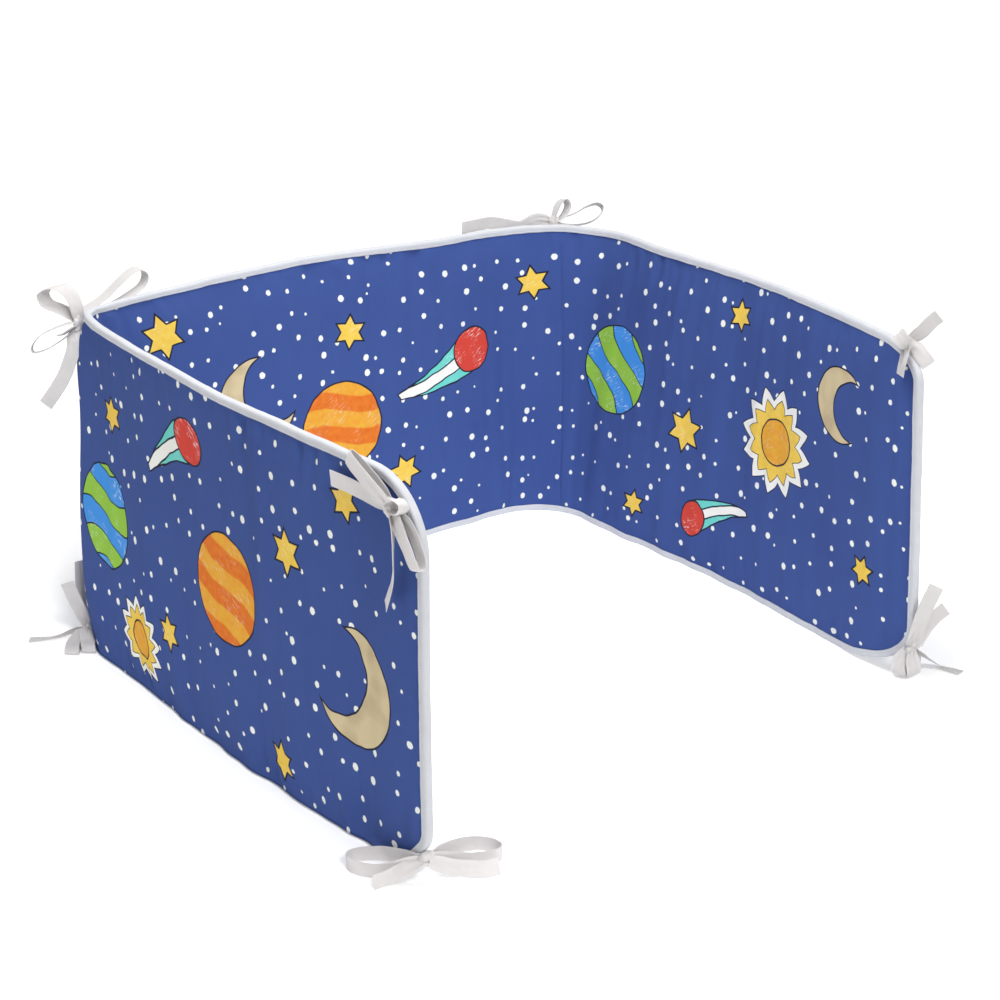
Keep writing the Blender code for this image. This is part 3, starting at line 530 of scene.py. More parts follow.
def make_pad(skin):
    mesh = bmesh.new()
    uv = mesh.loops.layers.uv.new("cloth")
    local = mesh.loops.layers.float_vector.new("motif_at")
    kind = mesh.faces.layers.float.new("motif_kind")
    grids = {}
    for side, motifs in ((1, OUTER_PRINT), (-1, INNER_PRINT)):
        grid = []
        for column in range(len(COLUMNS)):
            line = []
            for row in range(ROWS + 1):
                s, z = pad_place(column, row)
                out = pad_half(depth_in(s, z)[0]) + pad_relief(s, z, side)
                line.append((mesh.verts.new(on_cloth(s, z, side * out)[0]), s, z))
            grid.append(line)
        grids[side] = grid
        for i in range(len(grid) - 1):
            for j in range(ROWS):
                corners = [grid[i][j], grid[i + 1][j], grid[i + 1][j + 1], grid[i][j + 1]]
                if side < 0:
                    corners.reverse()
                face = mesh.faces.new([corner[0] for corner in corners])
                motif = near_motif(corners[0][1], corners[0][2], motifs)
                face[kind] = motif.kind if motif else 0
                for loop, (_, s, z) in zip(face.loops, corners):
                    loop[uv].uv = (s, z + (0.0 if side > 0 else INNER_UV))
                    if motif:
                        back = Matrix.Rotation(radians(-motif.turn), 2)
                        arm = back @ Vector((s - motif.s, z - motif.z))
                        loop[local] = (arm.x / motif.radius, arm.y / motif.radius, motif.radius)
    sew_rim(mesh, grids, uv)
    return finish_piece("pad_cloth", mesh, skin)


def sew_rim(mesh, grids, uv):
    """Closes the pad between the rims of its two faces."""
    last = len(COLUMNS) - 1
    rim = [(i, 0) for i in range(last)] + [(last, j) for j in range(ROWS)]
    rim += [(i, ROWS) for i in range(last, 0, -1)] + [(0, j) for j in range(ROWS, 0, -1)]
    for (i, j), (k, m) in zip(rim, rim[1:] + rim[:1]):
        quad = [grids[-1][i][j], grids[-1][k][m], grids[1][k][m], grids[1][i][j]]
        face = mesh.faces.new([corner[0] for corner in quad])
        for loop, (_, s, z) in zip(face.loops, quad):
            loop[uv].uv = (s, z)


# ---- binding
Place = namedtuple("Place", "s z leg")
Wave = namedtuple("Wave", "long height seed")
# The outer leg narrows along the lower edge: from this far on, over this length, and back before end D.
NARROW_FROM, NARROW_OVER = 0.012, 0.035
WIDE_FROM, WIDE_OVER = 0.10, 0.06
# Depth in from the edge, as a share of the leg, and distance out of the middle in millimetres.
TAPE_PROFILE = ((1.00, 3.2), (1.00, 4.15), (0.93, 4.35), (0.80, 4.05), (0.66, 4.35), (0.42, 4.40),
                (0.20, 4.25), (0.06, 3.55), (0.00, 2.3))
PROFILE_STEP = 0.0015  # a step across this profile, as the weave's measure takes it
LEG_WAVES = (Wave(0.035, 0.06, 51), Wave(0.009, 0.035, 55))  # heights in shares of the leg
SAG_WAVES = (Wave(0.030, 0.00045, 61), Wave(0.010, 0.00022, 65))  # of the folded edge
PUFF = Wave(0.011, 0.00022, 71)  # of the tape's face
ON_FLOOR = 0.0005  # an edge lower than this is flat on the floor
STITCH_SHARE, STITCH_OUT = 0.80, 4.22  # where the stitches lie on the profile
STITCH_PITCH = 0.0031
STITCH_LONG = 0.0024
STITCH_HALF = 0.00024
# Places along a stitch, in its length, with its thickness and rise there, in half its width.
STITCH_RINGS = ((-0.5, 0.45, -0.6), (-0.25, 1.0, 0.5), (0.25, 1.0, 0.5), (0.5, 0.45, -0.6))
TOO_SHORT = 1e-6


def outline_places():
    """Places once round the strip's outline, with the binding's depth on the outer face there."""
    low = []
    for s in COLUMNS:
        narrow = clamp((s - NARROW_FROM) / NARROW_OVER) * clamp((LENGTH - s - WIDE_FROM) / WIDE_OVER)
        low.append(Place(s, edge_level(s, "low"), mix(BAND, LOW_BAND_OUT, narrow)))
    top = [Place(s, edge_level(s, "top"), BAND) for s in COLUMNS]
    return low + upright_places("D", LENGTH) + top[::-1] + upright_places("A", 0.0)[::-1]


def upright_places(end, s):
    start, stop = CORNER[end + "_low"].up, HEIGHT - CORNER[end + "_top"].up
    count = round((stop - start) / STEP)
    return [Place(s, mix(start, stop, i / count), BAND) for i in range(1, count)]


def edge_frames(places):
    """At each place: the outline's point, the way in from it along the cloth, and the way out of it."""
    frames = []
    count = len(places)
    for i, place in enumerate(places):
        before, after = places[i - 1], places[(i + 1) % count]
        ds, dz = after.s - before.s, after.z - before.z
        size = hypot(ds, dz)
        in_s, in_z = -dz / size, ds / size
        edge, normal = on_cloth(place.s, place.z)
        inner = on_cloth(place.s + in_s * BAND, place.z + in_z * BAND)[0]
        frames.append((edge, (inner - edge).normalized(), normal))
    return frames


def uneven(length, waves):
    return sum(wave.height * rough(length / wave.long, 0, wave.seed) for wave in waves)


def make_binding(skin, thread):
    places = outline_places()
    frames = edge_frames(places)
    lengths = line_lengths([frame[0] for frame in frames])
    total = lengths[-1] + (frames[0][0] - frames[-1][0]).length
    mesh = bmesh.new()
    uv = mesh.loops.layers.uv.new("cloth")
    sections, stitches = [], {1: [], -1: []}
    for place, length, (edge, inward, normal) in zip(places, lengths, frames):
        wobble = 1 + uneven(length, LEG_WAVES)
        sag = 0.0 if place.z < ON_FLOOR else uneven(length, SAG_WAVES)
        section = []
        for side in (1, -1):
            leg = (place.leg if side > 0 else BAND) * wobble
            puff = PUFF.height * rough(length / PUFF.long, 0, PUFF.seed + side)
            profile = []
            for share, out in TAPE_PROFILE:
                depth = leg * share + sag * (1 - share)
                bulge = puff * sin(pi * share)
                profile.append(mesh.verts.new(edge + inward * depth + normal * side * (out / 1000 + bulge)))
            seam = edge + inward * leg * STITCH_SHARE + normal * side * (STITCH_OUT / 1000)
            stitches[side].append((seam, normal * side))
            section += profile if side > 0 else profile[::-1]
        for vert in section:
            vert.co.z = max(vert.co.z, 0.0)
        sections.append(section)
    across = [k * PROFILE_STEP for k in range(len(sections[0]))]
    runs = zip(lengths, lengths[1:] + [total])
    for here, there, run in zip(sections, sections[1:] + sections[:1], runs):
        join_rings(mesh, uv, here, there, run, across)
    for line in stitches.values():
        sew_stitches(mesh, line)
    bmesh.ops.recalc_face_normals(mesh, faces=mesh.faces)
    return finish_piece("binding_tape", mesh, skin, thread)


def sew_stitches(mesh, line):
    """Short raised threads along a closed line of (point, way out of the cloth)."""
    ring = line + line[:1]
    left = 0.0
    for (start, out), (stop, out_next) in zip(ring, ring[1:]):
        run = stop - start
        size = run.length
        if size < TOO_SHORT:
            continue
        while left < size:
            share = left / size
            add_stitch(mesh, start + run * share, run / size, out.lerp(out_next, share).normalized())
            left += STITCH_PITCH
        left -= size


def add_stitch(mesh, middle, ahead, normal):
    side = ahead.cross(normal)
    corners = [pi * k / 2 + pi / 4 for k in range(4)]
    rings = []
    for place, thick, rise in STITCH_RINGS:
        centre = middle + ahead * STITCH_LONG * place + normal * STITCH_HALF * rise
        half = STITCH_HALF * thick
        rings.append([mesh.verts.new(centre + (side * cos(a) + normal * sin(a)) * half)
                      for a in corners])
    faces = [mesh.faces.new(rings[0]), mesh.faces.new(rings[-1][::-1])]
    for here, there in zip(rings, rings[1:]):
        faces += [mesh.faces.new((here[k - 1], there[k - 1], there[k], here[k])) for k in (1, 2, 3, 0)]
    for face in faces:
        face.material_index = 1


# ---- ties
def view_axes():
    turn = radians(VIEW_TURN)
    across = Vector((cos(turn), sin(turn), 0.0))
    near = Vector((sin(turn), -cos(turn), 0.0))
    return Matrix((across, Vector((0, 0, 1)), near)).transposed()


VIEW = view_axes()
ROUTE_STEPS = 3  # as the solids' routes, so that both are cleared alike
FINE_STEPS = 3  # and each of those steps cut again
RIBS_ACROSS = 8  # faces across the tape
GATHER = 0.00085  # height of the gathers where the tape leaves its knot
GATHER_FROM, GATHER_REACH = 0.006, 0.020
GATHER_TURN = 7.5  # radians of them across half the tape
CUP, CUP_LONG = 0.00042, 0.03  # the tape's soft hollow, to one side and the other
CUP_TURN = 2.1  # from seed to seed
TAPE_ROUGH, TAPE_ROUGH_LONG, TAPE_ROUGH_WIDE = 0.00016, 0.008, 1.3
EDGE_ROUGH, EDGE_ROUGH_LONG, EDGES_APART = 0.02, 0.01, 3.0
EDGE_THIN = 0.55  # the tape's edges, as a share of its thickness
OFF_FLOOR = 0.0001
KNOT_OFF_FLOOR = 0.0002
TIE_SEEDS = 1.7  # from tie to tie


def spline(points, steps):
    padded = [2 * points[0] - points[1]] + points + [2 * points[-1] - points[-2]]
    route = []
    for i in range(len(points) - 1):
        a, b, c, d = padded[i:i + 4]
        for step in range(steps):
            t = step / steps
            route.append(0.5 * (2 * b + (c - a) * t + (2 * a - 5 * b + 4 * c - d) * t ** 2
                                + (3 * b - a - 3 * c + d) * t ** 3))
    return route + [points[-1]]


def held_clear(corners, strip):
    """Move a section of tape level, off the strip's surfaces where it would come too near to them."""
    points = corners + [(corners[0] + corners[3]) / 2, (corners[1] + corners[2]) / 2]
    push = Vector((0, 0, 0))
    for point in points:
        for surface in strip:
            nearest, normal, _, distance = surface.find_nearest(point)
            away = point - nearest
            need = TIE_CLEAR - distance
            if away.dot(normal) < INSIDE * distance:
                away = -away
                need = TIE_CLEAR + distance
            level = Vector((away.x, away.y, 0))
            if need > push.length and level.length > LEAST_LEVEL * away.length:
                push = level.normalized() * need
    return push


def tape_sections(run, middle, strip):
    """The tape's line: at each step its middle, and half its width as a vector."""
    points = [middle + VIEW @ Vector(point) / 1000 for point in run.route]
    route = spline(points, ROUTE_STEPS)
    at_knot, far_off = VIEW @ Vector(run.at_knot), VIEW @ Vector(run.far_off or run.at_knot)
    looped = (points[-1] - middle).length < KNOT_REACH
    sections = []
    for i, point in enumerate(route):
        direction = (route[min(i + 1, len(route) - 1)] - route[max(i - 1, 0)]).normalized()
        share = i / (len(route) - 1)
        square = 1.0
        if looped:
            share = 1 - abs(2 * share - 1)
            square = min(1.0, 2 * (1 - share))
        spread = min((point - middle).length / TIE_SPREAD, 1.0)
        width = TIE_WIDTH * mix(TIE_PINCH, 1.0, spread)
        way = at_knot.lerp(far_off, share)
        wide = (way - direction * way.dot(direction) * square).normalized() * width / 2
        thick = direction.cross(wide).normalized() * TIE_THICK / 2
        corners = [point + wide + thick, point + wide - thick, point - wide - thick, point - wide + thick]
        lift = max(0.0, -min(corner.z for corner in corners))
        place = point + Vector((0, 0, lift))
        corners = [corner + Vector((0, 0, lift)) for corner in corners]
        for _ in range(CLEARING_ROUNDS):
            push = held_clear(corners, strip)
            corners = [corner + push for corner in corners]
            place = place + push
        sections.append((place, wide))
    return sections


def add_tape(mesh, uv, run, middle, strip, seed):
    """One run of tape: a flat band with soft edges, gathered where it leaves the knot."""
    coarse = tape_sections(run, middle, strip)
    centres = spline([place for place, _ in coarse], FINE_STEPS)
    widths = spline([wide for _, wide in coarse], FINE_STEPS)
    lengths = line_lengths(centres)
    rings = []
    for i, (centre, wide, length) in enumerate(zip(centres, widths, lengths)):
        direction = (centres[min(i + 1, len(centres) - 1)] - centres[max(i - 1, 0)]).normalized()
        flat = direction.cross(wide).normalized()
        gather = GATHER * exp(-max((centre - middle).length - GATHER_FROM, 0.0) / GATHER_REACH)
        hollow = CUP * sin(seed * CUP_TURN + length / CUP_LONG)
        upper, lower = [], []
        for k in range(RIBS_ACROSS + 1):
            t = 2 * k / RIBS_ACROSS - 1
            lift = gather * sin(GATHER_TURN * t + seed) + hollow * (1 - t * t)
            lift += TAPE_ROUGH * rough(length / TAPE_ROUGH_LONG, t * TAPE_ROUGH_WIDE, seed)
            edge = TIE_THICK / 2 * (EDGE_THIN if k in (0, RIBS_ACROSS) else 1.0)
            waver = EDGE_ROUGH * rough(length / EDGE_ROUGH_LONG, EDGES_APART * (t > 0), seed)
            spot = centre + wide * t * (1 + waver)
            upper.append(spot + flat * (lift + edge))
            lower.append(spot + flat * (lift - edge))
        ring = upper + lower[::-1]
        raised = Vector((0, 0, max(0.0, OFF_FLOOR - min(spot.z for spot in ring))))
        rings.append([mesh.verts.new(spot + raised) for spot in ring])
    size = len(rings[0])
    across = [min(k, size - k) / RIBS_ACROSS * TIE_WIDTH for k in range(size + 1)]
    for here, there, run_along in zip(rings, rings[1:], zip(lengths, lengths[1:])):
        join_rings(mesh, uv, here, there, run_along, across)
    mesh.faces.new(rings[0])
    mesh.faces.new(rings[-1][::-1])
    return lengths[-1]


def corner_place(name, angle, inset):
    corner = CORNER[name]
    s = inset + (corner.along - inset) * (1 - cos(radians(angle)))
    z = inset + (corner.up - inset) * (1 - sin(radians(angle)))
    if name.startswith("D"):
        s = LENGTH - s
    if name.endswith("top"):
        z = HEIGHT - z
    return s, z


def knot_seat(tie):
    """The point that the knot's back faces, the way out from it, and the way along the edge."""
    if tie.place[0] == "face":
        _, bend_name, shift, z = tie.place
        point, out = on_strip(BEND_MIDDLE[bend_name] + shift, z)
        return point, out, out.cross(Vector((0, 0, 1)))
    _, corner, angle = tie.place
    point, normal = on_strip(*corner_place(corner, angle, 0.0))
    ahead = on_strip(*corner_place(corner, angle + 1, 0.0))[0]
    edge = (ahead - point).normalized()
    out = edge.cross(normal)
    inner = on_strip(*corner_place(corner, angle, BAND))[0]
    if out.dot(inner - point) > 0:
        out = -out
    return point, out, edge


Wrap = namedtuple("Wrap", "tilt wide size")
WRAPS = (Wrap(12, 0.78, 1.00), Wrap(-48, 0.62, 0.93), Wrap(74, 0.60, 0.88))
WRAP_STEPS = 28
WRAP_STEP_LONG = 0.0014  # a step round the band, as the weave's measure takes it
WRAP_DIP, WRAP_DIP_LATE = 0.80, 2.6  # how far the band's edges dip in, and how near to them
WRAP_SQUARE = 0.8  # under 1, the band goes round the knot more squarely
WRAP_WAVE, WRAP_FOLDS = 0.05, 6  # height of its folds, and radians of them across half its width
WRAP_ROUGH = 0.04


def add_knot(mesh, uv, tie, seed):
    """A knot: bands of tape wrapped over each other at several tilts."""
    point, out, edge = knot_seat(tie)
    size = Vector(tie.knot) / 1000
    middle = point + out * (tie.stand + size.z / 2)
    turn = Matrix((edge, out.cross(edge), out)).transposed()
    for n, wrap in enumerate(WRAPS):
        add_wrap(mesh, uv, middle, turn, size / 2, wrap, seed + n)
    return middle


def squared(value):
    return copysign(abs(value) ** WRAP_SQUARE, value)


def add_wrap(mesh, uv, middle, turn, half, wrap, seed):
    """One band round the knot: its middle line goes over the front, and its edges dip in."""
    spin = Matrix.Rotation(radians(wrap.tilt), 3, "Z")
    local = turn @ spin
    reach = Vector((abs(spin[0][0]) * half.x + abs(spin[0][1]) * half.y,
                    abs(spin[1][0]) * half.x + abs(spin[1][1]) * half.y, half.z)) * wrap.size
    rings = []
    for i in range(WRAP_STEPS):
        angle = 2 * pi * i / WRAP_STEPS
        ring = []
        for k in range(RIBS_ACROSS + 1):
            t = 2 * k / RIBS_ACROSS - 1
            swell = sqrt(max(0.0, 1 - (WRAP_DIP * abs(t)) ** WRAP_DIP_LATE))
            swell *= 1 + WRAP_WAVE * sin(WRAP_FOLDS * t + seed) + WRAP_ROUGH * rough(angle, t * 2, seed)
            x = reach.x * wrap.wide * t * (1 + WRAP_WAVE * sin(2 * angle + seed))
            place = middle + local @ Vector((x, reach.y * squared(cos(angle)) * swell,
                                             reach.z * squared(sin(angle)) * swell))
            ring.append(mesh.verts.new((place.x, place.y, max(place.z, KNOT_OFF_FLOOR))))
        rings.append(ring)
    across = [k / RIBS_ACROSS * TIE_WIDTH for k in range(RIBS_ACROSS + 1)]
    for i, here in enumerate(rings):
        run_round = (i * WRAP_STEP_LONG, (i + 1) * WRAP_STEP_LONG)
        join_rings(mesh, uv, here, rings[(i + 1) % WRAP_STEPS], run_round, across)
    mesh.faces.new([ring[0] for ring in rings])
    mesh.faces.new([ring[-1] for ring in reversed(rings)])


def make_tie(name, tie, strip, skin, seed):
    mesh = bmesh.new()
    uv = mesh.loops.layers.uv.new("cloth")
    middle = add_knot(mesh, uv, tie, seed)
    length = sum(add_tape(mesh, uv, run, middle, strip, seed + i) for i, run in enumerate(tie.runs))
    bmesh.ops.recalc_face_normals(mesh, faces=mesh.faces)
    piece = finish_piece(name + "_tape", mesh, skin)
    piece.modifiers.new("crisp edges", "EDGE_SPLIT").split_angle = radians(60)
    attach(piece, "root")
    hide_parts(name)
    name + "_tape"
    # 60 mm of the tape are wound in the knot
    length + 0.06


# ---- shader graphs
MIX_LOW, MIX_HIGH, MIX_RESULT = 6, 7, 2  # the sockets of a Mix node's colours


def add_node(tree, kind, inputs, **settings):
    """A shader node. An input is a value or another node's output, by its name or place."""
    made = tree.nodes.new("ShaderNode" + kind)
    for key, value in settings.items():
        setattr(made, key, value)
    for key, value in inputs.items():
        if isinstance(value, bpy.types.NodeSocket):
            tree.links.new(value, made.inputs[key])
        else:
            made.inputs[key].default_value = value
    return made


class Wire:
    """A value in a shader graph: arithmetic on it adds Math nodes."""

    def __init__(self, graph, socket):
        self.graph = graph
        self.socket = socket

    def __neg__(self):
        return self.graph.math("MULTIPLY", self, -1.0)


for sign, operation in (("add", "ADD"), ("sub", "SUBTRACT"), ("mul", "MULTIPLY"), ("truediv", "DIVIDE")):
    setattr(Wire, f"__{sign}__", lambda self, other, op=operation: self.graph.math(op, self, other))
    setattr(Wire, f"__r{sign}__", lambda self, other, op=operation: self.graph.math(op, other, self))


class Graph:
    """A material's nodes, written as short expressions."""

    def __init__(self, name, plain):
        """plain gives the shader's values that are the same all over."""
        self.material = bpy.data.materials.new(name)
        self.material.use_nodes = True
        self.tree = self.material.node_tree
        self.shader = self.tree.nodes["Principled BSDF"]
        for socket, value in plain.items():
            self.shader.inputs[socket].default_value = value

    def make(self, kind, inputs, **settings):
        sockets = {key: value.socket if isinstance(value, Wire) else value for key, value in inputs.items()}
        return [Wire(self, output) for output in add_node(self.tree, kind, sockets, **settings).outputs]

    def math(self, operation, *values, clamp=False):
        return self.make("Math", dict(enumerate(values)), operation=operation, use_clamp=clamp)[0]

    def sine(self, wire):
        return self.math("SINE", wire)

    def abs(self, wire):
        return self.math("ABSOLUTE", wire)

    def attribute(self, name):
        """A mesh attribute, as a vector and as a number."""
        _, vector, number, _ = self.make("Attribute", {}, attribute_name=name)
        return vector, number

    def split(self, vector):
        return self.make("SeparateXYZ", {0: vector})

    def join(self, x, y, z=0.0):
        return self.make("CombineXYZ", {0: x, 1: y, 2: z})[0]

    def noise(self, vector, scale, detail=2.0, rough=0.5):
        values = {"Vector": vector, "Scale": scale, "Detail": detail, "Roughness": rough}
        return self.make("TexNoise", values)[0]

    def cells(self, vector, scale, randomness):
        """Scattered cells, as the distance from each one's middle and its own random colour."""
        values = {"Vector": vector, "Scale": scale, "Randomness": randomness}
        return self.make("TexVoronoi", values, voronoi_dimensions="2D", feature="F1")[:2]

    def mix(self, factor, low, high):
        low, high = [(*end, 1.0) if isinstance(end, tuple) else end for end in (low, high)]
        return self.make("Mix", {0: factor, MIX_LOW: low, MIX_HIGH: high}, data_type="RGBA")[MIX_RESULT]

    def inside(self, distance, soft):
        """1 where a signed distance is below 0, with an edge this soft."""
        return self.math("ADD", self.math("DIVIDE", -distance, soft), 0.5, clamp=True)

    def finish(self, colour, height, deep):
        """Gives the shader its colour and its bump, and returns the material."""
        raised = {"Distance": deep, "Strength": BUMP_STRENGTH, "Height": height}
        for name, wire in (("Base Color", colour), ("Normal", self.make("Bump", raised)[0])):
            self.tree.links.new(wire.socket, self.shader.inputs[name])
        return self.material


def linear(red, green, blue):
    """A screen colour, 0 to 255, as linear light."""
    return tuple((c / 255 / 12.92) if c / 255 <= 0.04045 else ((c / 255 + 0.055) / 1.055) ** 2.4
                 for c in (red, green, blue))


BLUE = linear(66, 89, 152)
BLUE_DEEP = linear(60, 81, 144)
DOT_CREAM = linear(248, 251, 242)
INK = linear(38, 40, 58)
STAR_YELLOW = linear(234, 190, 66)
STAR_PALE = linear(248, 216, 104)
ORANGE = linear(218, 92, 32)
AMBER = linear(234, 142, 52)
SKY = linear(70, 150, 230)
LEAF = linear(150, 200, 72)
SAND = linear(214, 197, 158)
CLAY = linear(182, 162, 126)
TEAL = linear(112, 212, 202)
BRICK = linear(214, 72, 60)
CHALK = linear(244, 244, 238)
INK_HALF = 0.0010  # half the drawn line's width
PRINT_SOFT = 0.00045  # softness of the print's edges
DOT_LEAST, DOT_MORE = 0.048, 0.084  # a dot's least radius and what chance adds, in pitches
DOT_SOFT = 0.020
DOT_SCATTER = 0.82
DOT_HIGH = 0.90  # dots are this much less high than wide, before they are stretched
DOT_JOG = 0.0014  # unevenness of their outlines
SHAKE = 0.08  # and of the motifs', in radii
SLUB = 26  # the cloth's uneven threads are this much longer than wide
WEAVE_PITCH, WEAVE_DEEP = 0.00052, 0.00025
PICKS, TAPE_DEEP = 0.8, 0.00020  # the tape's cross threads, in ribs, and its weave's depth
BUMP_STRENGTH = 0.7
# Shapes of the motifs, in radii.
STAR_DIP = 0.56  # a star's inner corners
STAR_BOLD = 0.9  # under 1, its line is bolder
MOON_BITE, BITE_RADIUS = (0.52, 0.10), 0.80
SUN_RAYS = 12
SUN_OUT, SUN_IN, SUN_BODY = (0.74, 0.26), (0.58, 0.20), 0.42  # dip and rise of its two outlines; disc
TAIL_FROM, TAIL_TO, TAIL_FALL = 0.55, -0.97, 1.5
TAIL_HALF, TAIL_LOSS, TAIL_CORE = 0.36, 0.30, 0.10
TAIL_BEND, TAIL_SHIFT = 0.16, 0.10
HEAD_AT, HEAD_RADIUS = 0.60, 0.37
BANDS, BAND_SWAY, BAND_SWAYS = 8.5, 1.2, 2.2
STRIPES, STRIPE_SLOPE, STRIPE_SWAY, STRIPE_SWAYS = 5.4, 0.6, 0.9, 3.0


def motif_shapes(g, x, y):
    """Each kind's signed distances, in radii, and the comet's height off its bent axis."""
    away = g.math("SQRT", x * x + y * y)
    turn = g.math("ARCTAN2", y, x) + pi

    half_point = pi / 6
    fold = g.abs(g.math("PINGPONG", turn, half_point))
    side = Vector((STAR_DIP * cos(half_point) - 1.0, STAR_DIP * sin(half_point))).normalized()
    star = (away * g.math("COSINE", fold) - 1.0) * side.y - away * g.math("SINE", fold) * side.x

    bite_x, bite_y = x - MOON_BITE[0], y - MOON_BITE[1]
    bite = BITE_RADIUS - g.math("SQRT", bite_x * bite_x + bite_y * bite_y)
    disc = away - 1.0
    moon = g.math("MAXIMUM", disc, bite)

    half_ray = pi / SUN_RAYS
    ray = g.abs(g.math("PINGPONG", turn, half_ray)) / half_ray
    sun_out, sun_in = [away - (dip + rise * ray) for dip, rise in (SUN_OUT, SUN_IN)]

    fall = g.math("MULTIPLY", TAIL_FROM - x, 1 / TAIL_FALL, clamp=True)
    curve = y - TAIL_BEND * x * x + TAIL_SHIFT
    ends = g.math("MAXIMUM", x - TAIL_FROM, TAIL_TO - x)
    tail = g.math("MAXIMUM", g.abs(curve) - (TAIL_HALF - TAIL_LOSS * fall), ends)
    head_x = x - HEAD_AT
    head = g.math("SQRT", head_x * head_x + curve * curve) - HEAD_RADIUS
    comet = g.math("MINIMUM", tail, head)
    return star, disc, moon, (sun_out, sun_in, away - SUN_BODY), (comet, head, curve)


def printed_cloth():
    g = Graph("printed_cloth", {"Roughness": 0.88, "Sheen Weight": 0.015, "Sheen Roughness": 0.55,
                                "Specular IOR Level": 0.10})
    cloth, _ = g.attribute("cloth")
    s, z, _ = g.split(cloth)
    slub = g.noise(g.join(s * SLUB, z), 60) + g.noise(g.join(s, z * SLUB, 0.3), 60) - 1.0
    base = g.mix(g.noise(cloth, 9, 3.0) + slub * 0.55, BLUE_DEEP, BLUE)

    # dots of a few sizes, a little uneven
    jog = (g.noise(cloth, 420, 1.0) - 0.5) * DOT_JOG
    spots, tints = g.cells(g.join(s + jog, z * DOT_HIGH + jog), 1 / DOT_PITCH, DOT_SCATTER)
    pick, fade, _ = g.split(tints)
    dot = g.inside(spots - (DOT_LEAST + DOT_MORE * pick), DOT_SOFT)
    colour = g.mix(dot * (0.88 + 0.12 * fade), base, DOT_CREAM)

    # motifs, each drawn where its kind is marked on the mesh
    raw_x, raw_y, size = g.split(g.attribute("motif_at")[0])
    kind = g.attribute("motif_kind")[1]
    x = raw_x + (g.noise(cloth, 42, 1.0) - 0.5) * SHAKE
    y = raw_y + (g.noise(g.join(z, s, 0.5), 38, 1.0) - 0.5) * SHAKE
    radius = g.math("MAXIMUM", size, 0.01)
    ink, soft = INK_HALF / radius, PRINT_SOFT / radius
    chalk = g.noise(g.join(s * 0.55 + z * 0.40, z * 2.0 - s * 1.3), 170, 4.0, 0.66)
    patch = g.math("MULTIPLY", g.noise(cloth, 30, 1.0) - 0.46, 5.0, clamp=True)
    scuffs = g.math("MULTIPLY", chalk - 0.53, 9.0, clamp=True) * patch

    def inked(fill, distance, half=ink):
        return g.mix(g.inside(g.abs(distance) - half, soft), fill, INK)

    def drawn(under, mark, distance, fill):
        """A filled and inked shape over the cloth, for one kind of motif."""
        is_kind = g.math("COMPARE", kind, float(mark), 0.25)
        filled = g.mix(is_kind * g.inside(distance, soft), under, fill)
        return g.mix(is_kind * g.inside(g.abs(distance) - ink, soft), filled, INK)

    def crayoned(dark, light, scuffed=0.75, grain=130):
        return g.mix(scuffs * scuffed, g.mix(g.noise(cloth, grain, 3.0), dark, light), CHALK)

    star, disc, moon, (sun_out, sun_in, sun_body), (comet, head, curve) = motif_shapes(g, x, y)
    colour = drawn(colour, STAR, star * STAR_BOLD, crayoned(STAR_YELLOW, STAR_PALE, 0.5, 120))

    bands = g.sine(y * BANDS + BAND_SWAY * g.sine(x * BAND_SWAYS))
    light_band = g.math("MULTIPLY_ADD", bands, 3.0, 0.5, clamp=True)
    fill = g.mix(light_band, crayoned(ORANGE, AMBER, 0.35), crayoned(AMBER, STAR_YELLOW, 0.4))
    colour = drawn(colour, BANDED, disc, fill)

    stripes = g.sine((x + y * STRIPE_SLOPE) * STRIPES + STRIPE_SWAY * g.sine(y * STRIPE_SWAYS))
    fill = g.mix(g.math("GREATER_THAN", stripes, 0.0), crayoned(SKY, SKY), crayoned(LEAF, LEAF, 0.5))
    colour = drawn(colour, STRIPED, disc, inked(fill, stripes / STRIPES))

    colour = drawn(colour, MOON, moon, g.mix(patch * 0.6, crayoned(SAND, SAND, 0.3), CLAY))

    fill = g.mix(g.inside(sun_in, soft), CHALK, crayoned(STAR_YELLOW, STAR_PALE, 0.3))
    fill = g.mix(g.inside(sun_body, soft), fill, crayoned(AMBER, STAR_YELLOW, 0.3))
    colour = drawn(colour, SUN, sun_out, inked(inked(fill, sun_body), sun_in, ink * 0.8))

    lane = g.abs(curve) - TAIL_CORE
    fill = g.mix(g.inside(lane, soft), crayoned(TEAL, TEAL), crayoned(CHALK, CHALK))
    fill = g.mix(g.inside(head, soft), inked(fill, lane), crayoned(BRICK, BRICK))
    colour = drawn(colour, COMET, comet, inked(fill, head))

    thread = 2 * pi / WEAVE_PITCH
    weave = g.sine(s * thread) * g.sine(z * thread)
    return g.finish(colour, weave * 0.5 + g.noise(cloth, 260) * 0.7, WEAVE_DEEP)


def tape_cloth(name, dark, light, ribs_pitch, roughness):
    """Woven tape: fine ribs along its length, and soft uneven whiteness."""
    g = Graph(name, {"Roughness": roughness, "Sheen Weight": 0.10, "Sheen Roughness": 0.5,
                     "Subsurface Weight": 0.3, "Subsurface Radius": (1.0, 0.96, 0.94),
                     "Subsurface Scale": 0.002, "Specular IOR Level": 0.25})
    cloth, _ = g.attribute("cloth")
    u, v, _ = g.split(cloth)
    weave = g.sine(v * (2 * pi / ribs_pitch)) * g.sine(u * (2 * pi / (ribs_pitch * PICKS)))
    colour = g.mix(g.noise(cloth, 60, 3.0) * 0.8 + weave * 0.05, dark, light)
    return g.finish(colour, weave * 0.6 + g.noise(cloth, 700) * 0.6, TAPE_DEEP)


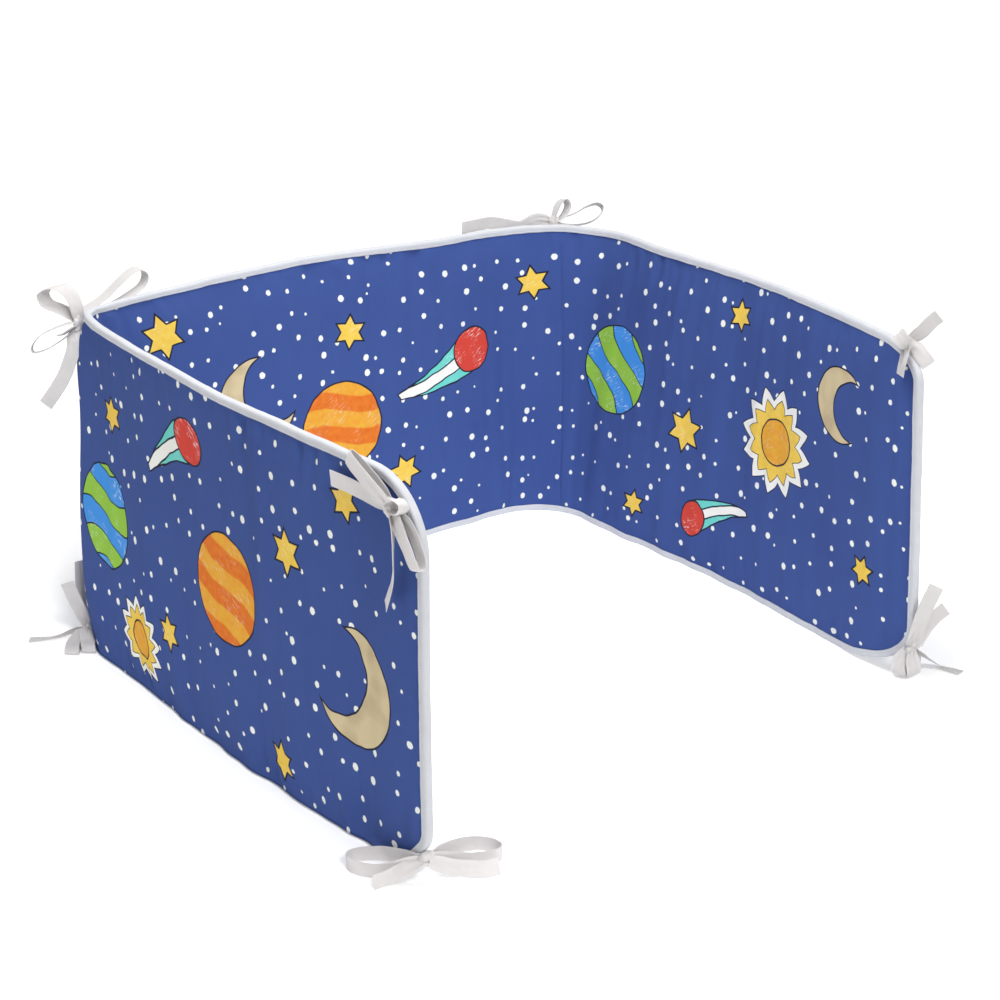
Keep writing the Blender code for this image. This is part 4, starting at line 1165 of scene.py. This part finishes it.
# ---- stage
FLOOR_HALF = 20
FLOOR_PLAIN = {"Base Color": (0.98, 0.98, 0.98, 1.0), "Roughness": 0.95, "Specular IOR Level": 0.0,
               "Emission Color": (1.0, 1.0, 1.0, 1.0), "Emission Strength": 0.22}
SKY_LEFT, SKY_RIGHT = 0.46, 0.60  # the light is a little dimmer from the left
LAMP_PLACE, LAMP_AIM = (-0.22, -0.15, 1.5), (0.30, 0.05, 0.15)
LAMP_SIZE, LAMP_POWER = 0.6, 13
SUN_WAY = (0.24, 1.0, -0.95)
SUN_STRENGTH, SUN_SOFT = 1.45, 14  # and its width in degrees


def make_camera():
    heading, pitch = radians(CAMERA_HEADING), radians(CAMERA_PITCH)
    aim = (cos(heading) * cos(pitch), sin(heading) * cos(pitch), -sin(pitch))
    data = bpy.data.cameras.new("camera")
    data.sensor_width = 36
    data.lens = CAMERA_LENS
    data.clip_end = 60
    bpy.context.scene.camera = add_object("camera", data, CAMERA_PLACE, aim)


def make_sky():
    """Even light from all round, and plain white where it is seen."""
    world = bpy.data.worlds.new("studio")
    world.use_nodes = True
    tree = world.node_tree
    sky = tree.nodes["Background"]
    sky.inputs["Color"].default_value = (1.0, 1.0, 1.0, 1.0)
    around = add_node(tree, "TexCoord", {}).outputs["Generated"]
    side = add_node(tree, "SeparateXYZ", {0: around}).outputs["X"]
    shares = {"Value": side, "From Min": -1.0, "To Min": SKY_LEFT, "To Max": SKY_RIGHT}
    light = add_node(tree, "MapRange", shares).outputs[0]
    seen = add_node(tree, "LightPath", {}).outputs["Is Camera Ray"]
    level = add_node(tree, "MapRange", {"Value": seen, "To Min": light, "To Max": 1.0})
    tree.links.new(level.outputs[0], sky.inputs["Strength"])
    bpy.context.scene.world = world
    bpy.context.scene.view_settings.view_transform = "Standard"


def make_stage():
    mesh = bmesh.new()
    bmesh.ops.create_grid(mesh, x_segments=1, y_segments=1, size=FLOOR_HALF)
    floor = finish_piece("floor", mesh, Graph("floor_white", FLOOR_PLAIN).material)
    make_sky()
    lamp = bpy.data.lights.new("inside", "AREA")
    lamp.shape = "DISK"
    lamp.size = LAMP_SIZE
    lamp.energy = LAMP_POWER
    add_object("inside", lamp, LAMP_PLACE, Vector(LAMP_AIM) - Vector(LAMP_PLACE))
    sun = bpy.data.lights.new("front", "SUN")
    sun.energy = SUN_STRENGTH
    sun.angle = radians(SUN_SOFT)
    add_object("front", sun, aim=SUN_WAY)


# ---- the object
def make_object():
    pad = make_pad(printed_cloth())
    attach(pad, "root")
    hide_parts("pad")

    white = tape_cloth("white_tape", linear(198, 200, 205), linear(215, 217, 221), 0.0005, 0.85)
    thread = tape_cloth("white_thread", linear(226, 230, 236), linear(242, 244, 247), 0.0003, 0.7)
    binding = make_binding(white, thread)
    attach(binding, "root")
    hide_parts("binding")

    strip = []
    for node in ("pad", "binding"):
        data = frame["nodes"][node].data
        strip.append(BVHTree.FromPolygons([v.co for v in data.vertices], [f.vertices for f in data.polygons]))
    cotton = tape_cloth("tie_tape", linear(200, 197, 196), linear(218, 215, 214), 0.0006, 0.8)
    # The ties at end A use a lighter copy of the same tape: painted light, standing in for the light that
    # falls on them from the left, which the dimmer left sky does not give.
    painted_lit_tape = tape_cloth("tie_tape_painted_lit", linear(217, 213, 212), linear(232, 229, 228), 0.0006, 0.8)
    for i, (name, tie) in enumerate(TIES.items()):
        make_tie(name, tie, strip, painted_lit_tape if name.startswith("tie_a") else cotton, TIE_SEEDS * i)


make_camera()
make_object()
make_stage()
